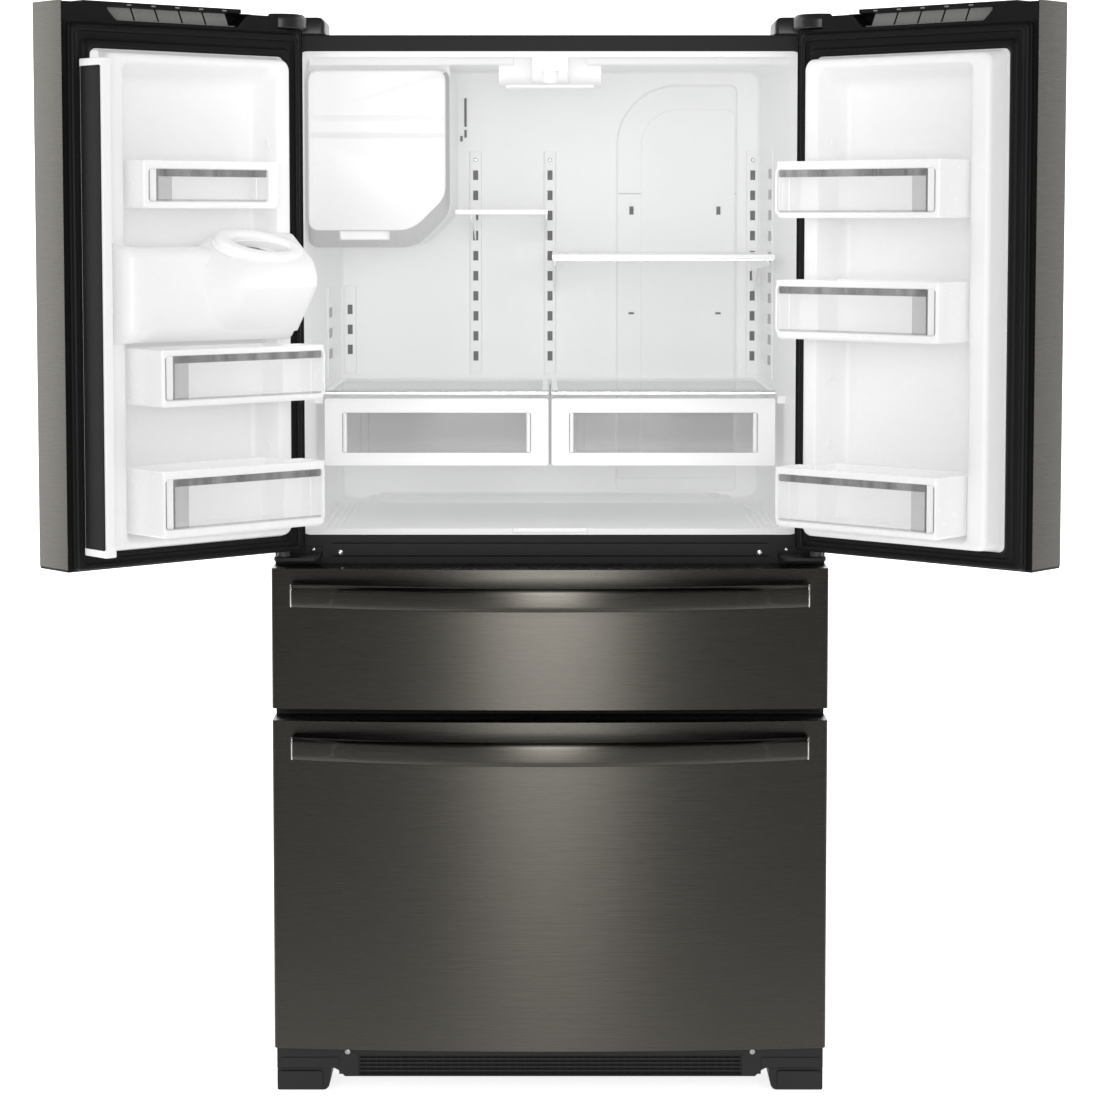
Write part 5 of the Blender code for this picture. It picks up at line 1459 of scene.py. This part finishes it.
def makeBack():
    low, high = nodeSpan("rear_cover")
    slots = []
    for x in (-0.36, -0.22, 0.12, 0.26):
        for z in spread(0.10, 0.22, 8):
            slots.append(slab((x, 0.70, z), (x + 0.10, 0.80, z + 0.0045)))
    piece("rearCover", slab(low, high), caseGrey, "cabinet", cuts=[together(slots)], soft=0.0005,
          replaces=["rear_cover"])
    for side in (-1, 1):
        for k, z in enumerate((0.075, 0.160, 0.248)):
            screwHead(f"coverScrew{side + 1}{k}", side * 0.409, high[1], z, "cabinet", outward=1,
                      radius=0.0042, look=zinc)
    # compressor, its band, pipes and feet
    cx, cy = -0.21, 0.628
    rings = []
    for z, r in ((0.053, 0.052), (0.056, 0.066), (0.066, 0.0735), (0.112, 0.0755), (0.1125, 0.0785),
                 (0.1185, 0.0785), (0.119, 0.0755), (0.160, 0.0735), (0.182, 0.064), (0.197, 0.045),
                 (0.2035, 0.020), (0.2045, 0.006)):
        rings.append(atHeight(disc(cx, cy, r, 48), z))
    piece("compressorDome", loft(rings), enamel, "cabinet", soft=0.0008, replaces=["compressor"], angle=30)
    for k in range(4):
        a = math.pi / 4 + math.pi / 2 * k
        x, y = cx + 0.070 * math.cos(a), cy + 0.070 * math.sin(a)
        piece(f"compressorFoot{k}", prism("z", disc(x, y, 0.011, 18), 0.0505, 0.0600), rubber, "cabinet",
              soft=0.0015, slot="compressor_black")
    path = [(cx + 0.070, cy + 0.01, 0.150), (cx + 0.110, cy + 0.02, 0.160), (cx + 0.150, cy + 0.03, 0.120),
            (cx + 0.240, cy + 0.03, 0.118), (cx + 0.330, cy + 0.02, 0.160), (cx + 0.400, cy, 0.165)]
    tubeAlong("suctionPipe", path, 0.0045, zinc, "cabinet")
    piece("machineFan", loft([atDepth(disc(0.30, 0.155, r, 40), y)
                              for y, r in ((0.600, 0.070), (0.628, 0.070), (0.630, 0.060))]), trimBlack,
          "cabinet", soft=0.002)
    for side in (-1, 1):
        name = "roller_left" if side < 0 else "roller_right"
        a, b = nodeSpan(name)
        r, cz, cyy = (b[2] - a[2]) / 2, (a[2] + b[2]) / 2, (a[1] + b[1]) / 2
        rings = [atSide(disc(cyy, cz, rr, 40), x) for x, rr in ((a[0], r * 0.42), (a[0] + 0.0008, r * 0.90),
                                                                (a[0] + 0.0024, r), (b[0] - 0.0024, r),
                                                                (b[0] - 0.0008, r * 0.90),
                                                                (b[0], r * 0.42))]
        piece(name + "Tyre", loft(rings), nylon, name, replaces=[name], slot="roller_nylon", soft=0.0006)
        for k in range(6):
            t = 2 * math.pi * k / 6
            spot = disc(cyy + r * 0.62 * math.cos(t), cz + r * 0.62 * math.sin(t), 0.0026, 12)
            piece(f"{name}Hole{k}", loft([atSide(spot, x) for x in (a[0] - 0.0001, b[0] + 0.0001)]),
                  trimBlack, name, slot="roller_nylon")
        bracket = [(cyy - 0.020, 0.0445), (cyy + 0.020, 0.0445), (cyy + 0.008, cz - 0.004),
                   (cyy - 0.008, cz - 0.004)]
        for k, x in enumerate((a[0] - 0.0040, b[0] + 0.0020)):
            piece(f"{name}Bracket{k}", prism("x", softCorners(bracket, 0.004, 3), x, x + 0.0020), zinc,
                  "cabinet", soft=0.0005)


def tubeAlong(name, path, radius, look, body, place=casePoint, steps=8):
    points = [Vector(p) for p in path]
    smooth = []
    for i in range(len(points) - 1):
        p0, p1, p2, p3 = points[max(0, i - 1)], points[i], points[i + 1], points[min(len(points) - 1, i + 2)]
        for k in range(steps):
            t = k / steps
            smooth.append(0.5 * ((2 * p1) + (p2 - p0) * t + (2 * p0 - 5 * p1 + 4 * p2 - p3) * t * t
                                 + (3 * p1 - p0 - 3 * p2 + p3) * t ** 3))
    smooth.append(points[-1])
    rings = []
    up = Vector((0, 0, 1))
    for i, p in enumerate(smooth):
        along = (smooth[min(len(smooth) - 1, i + 1)] - smooth[max(0, i - 1)]).normalized()
        out = along.cross(up).normalized()
        high = out.cross(along)
        rings.append([tuple(p + out * radius * math.cos(2 * math.pi * k / 12) + high * radius
                            * math.sin(2 * math.pi * k / 12)) for k in range(12)])
    return piece(name, loft(rings), look, body, place, slot="hinge_steel")


for side, name in ((-1, "left_door"), (1, "right_door")):
    place = doorFrame(side)
    makeDoorSkin(side, name, place)
    makeGasket(name, place)
    makeDoorLiner(side, name, place, 0.035 if side < 0 else 0.050)
    makeBins(place, side)
    makeDoorHandle(name, place)
print("doors made")
leftDoor = doorFrame(-1)
makeBlock(leftDoor)
makeChute(leftDoor)
makeMullion()
makeDispenser(leftDoor)
makeHinges()
print("chute, mullion, dispenser and hinges made")
makeDrawers()
makeBase()
makeBack()
# the machine bay is shown as it is in the CAD, with the zinc finish
for slot in nodes["machine_bay"].material_slots:
    slot.material = zinc
print("drawers, base and back made")


room = {"world": 0.60, "paperGlow": 0.80, "lens": 92.88, "shift": -0.11, "pitch": 0.0737, "height": 1.4397,
        "away": 4.652, "stage": 9.6, "curve": 1.2, "wallTop": 10.0}


def stageSheet():
    # round floor, and a wall that curves up behind and beside the object
    paper = finish("stagePaper", (0.80, 0.80, 0.80), 0.75, 0.0, (1, 1, 1), 30, 0.004, 0.03, 0.02)
    tree = paper.node_tree
    shader = tree.nodes["Principled BSDF"]
    place = tree.nodes.new("ShaderNodeTexCoord")
    apart = tree.nodes.new("ShaderNodeSeparateXYZ")
    tree.links.new(place.outputs["Object"], apart.inputs["Vector"])
    fade = tree.nodes.new("ShaderNodeMapRange")  # bright behind the object, plain in front of it
    fade.interpolation_type = "SMOOTHSTEP"
    fade.inputs["From Min"].default_value = -1.6
    fade.inputs["From Max"].default_value = -0.2
    fade.inputs["To Min"].default_value = 0.0
    fade.inputs["To Max"].default_value = room["paperGlow"]
    tree.links.new(apart.outputs["Y"], fade.inputs["Value"])
    shader.inputs["Emission Color"].default_value = (1, 1, 1, 1)
    tree.links.new(fade.outputs["Result"], shader.inputs["Emission Strength"])
    rings = [(radius, 0.0) for radius in (0.02, 1.0, 3.0, 6.0, room["stage"])]
    for i in range(1, 11):
        a = math.pi / 2 * i / 10
        rings.append((room["stage"] + room["curve"] * math.sin(a), room["curve"] * (1 - math.cos(a))))
    rings.append((room["stage"] + room["curve"], room["wallTop"]))
    points, faces = [], []
    steps = 96
    for radius, z in rings:
        for i in range(steps):
            a = 2 * math.pi * i / steps
            points.append((radius * math.cos(a), radius * math.sin(a), z - 0.0004))
    for level in range(len(rings) - 1):
        for i in range(steps):
            j = (i + 1) % steps
            middle = math.sin(2 * math.pi * (i + 0.5) / steps)
            if rings[level][0] >= 9.0 and middle < -0.12:
                continue  # the front stays open
            faces.append([level * steps + i, level * steps + j, (level + 1) * steps + j,
                          (level + 1) * steps + i])
    made = rawMesh("stageSheet", (points, faces), asGiven)
    made.data.materials.append(paper)
    made.data.shade_smooth()


def areaLight(name, place, target, size, power, color=(1, 1, 1)):
    data = bpy.data.lights.new(name, "AREA")
    data.shape = "RECTANGLE"
    data.size, data.size_y = size
    data.energy = power
    data.color = color
    made = bpy.data.objects.new(name, data)
    made.location = place
    made.rotation_euler = (Vector(target) - Vector(place)).to_track_quat("-Z", "Y").to_euler()
    made.visible_camera = False
    bpy.context.scene.collection.objects.link(made)
    return made


def lightAndCamera():
    world = bpy.data.worlds.new("paleRoom")
    bpy.context.scene.world = world
    world.use_nodes = True
    sky = world.node_tree.nodes["Background"]
    sky.inputs["Color"].default_value = (1, 1, 1, 1)
    sky.inputs["Strength"].default_value = room["world"]
    # the strip in front draws the steel's highlight; the next four light the white parts only
    strip = areaLight("softFront", (0.0, -5.4, 1.25), (0, 0, 0.95), (0.9, 2.6), 78)
    strip.visible_diffuse = False
    for name, place, target, size, power in (
            ("keyLeft", (-2.1, -4.6, 2.2), (0.1, 0, 1.25), (1.6, 1.4), 25),
            ("keyRight", (2.1, -4.6, 2.2), (-0.1, 0, 1.25), (1.6, 1.4), 25),
            ("frontFill", (0.0, -4.9, 1.40), (0, 0, 1.30), (1.4, 0.8), 31),
            ("innerLight", (0.0, frontY - 0.42, 1.46), (0, frontY + 1.0, 1.60), (0.66, 0.40), 0.8)):
        areaLight(name, place, target, size, power).visible_glossy = False
    areaLight("edgeLeft", (-4.2, 0.9, 1.5), (-0.6, -0.4, 1.2), (1.0, 2.6), 9)
    bpy.context.scene.world.cycles_visibility.glossy = False
    data = bpy.data.cameras.new("frontCamera")
    data.lens = room["lens"]
    data.sensor_width = 36
    data.shift_y = room["shift"]
    camera = bpy.data.objects.new("frontCamera", data)
    camera.location = (0.0, frontY - room["away"], room["height"])
    camera.rotation_euler = (math.pi / 2 - room["pitch"], 0, 0)
    bpy.context.scene.collection.objects.link(camera)
    bpy.context.scene.camera = camera
    view = bpy.context.scene.view_settings
    view.view_transform = "Standard"
    view.look = "None"


stageSheet()
lightAndCamera()
print("room made")
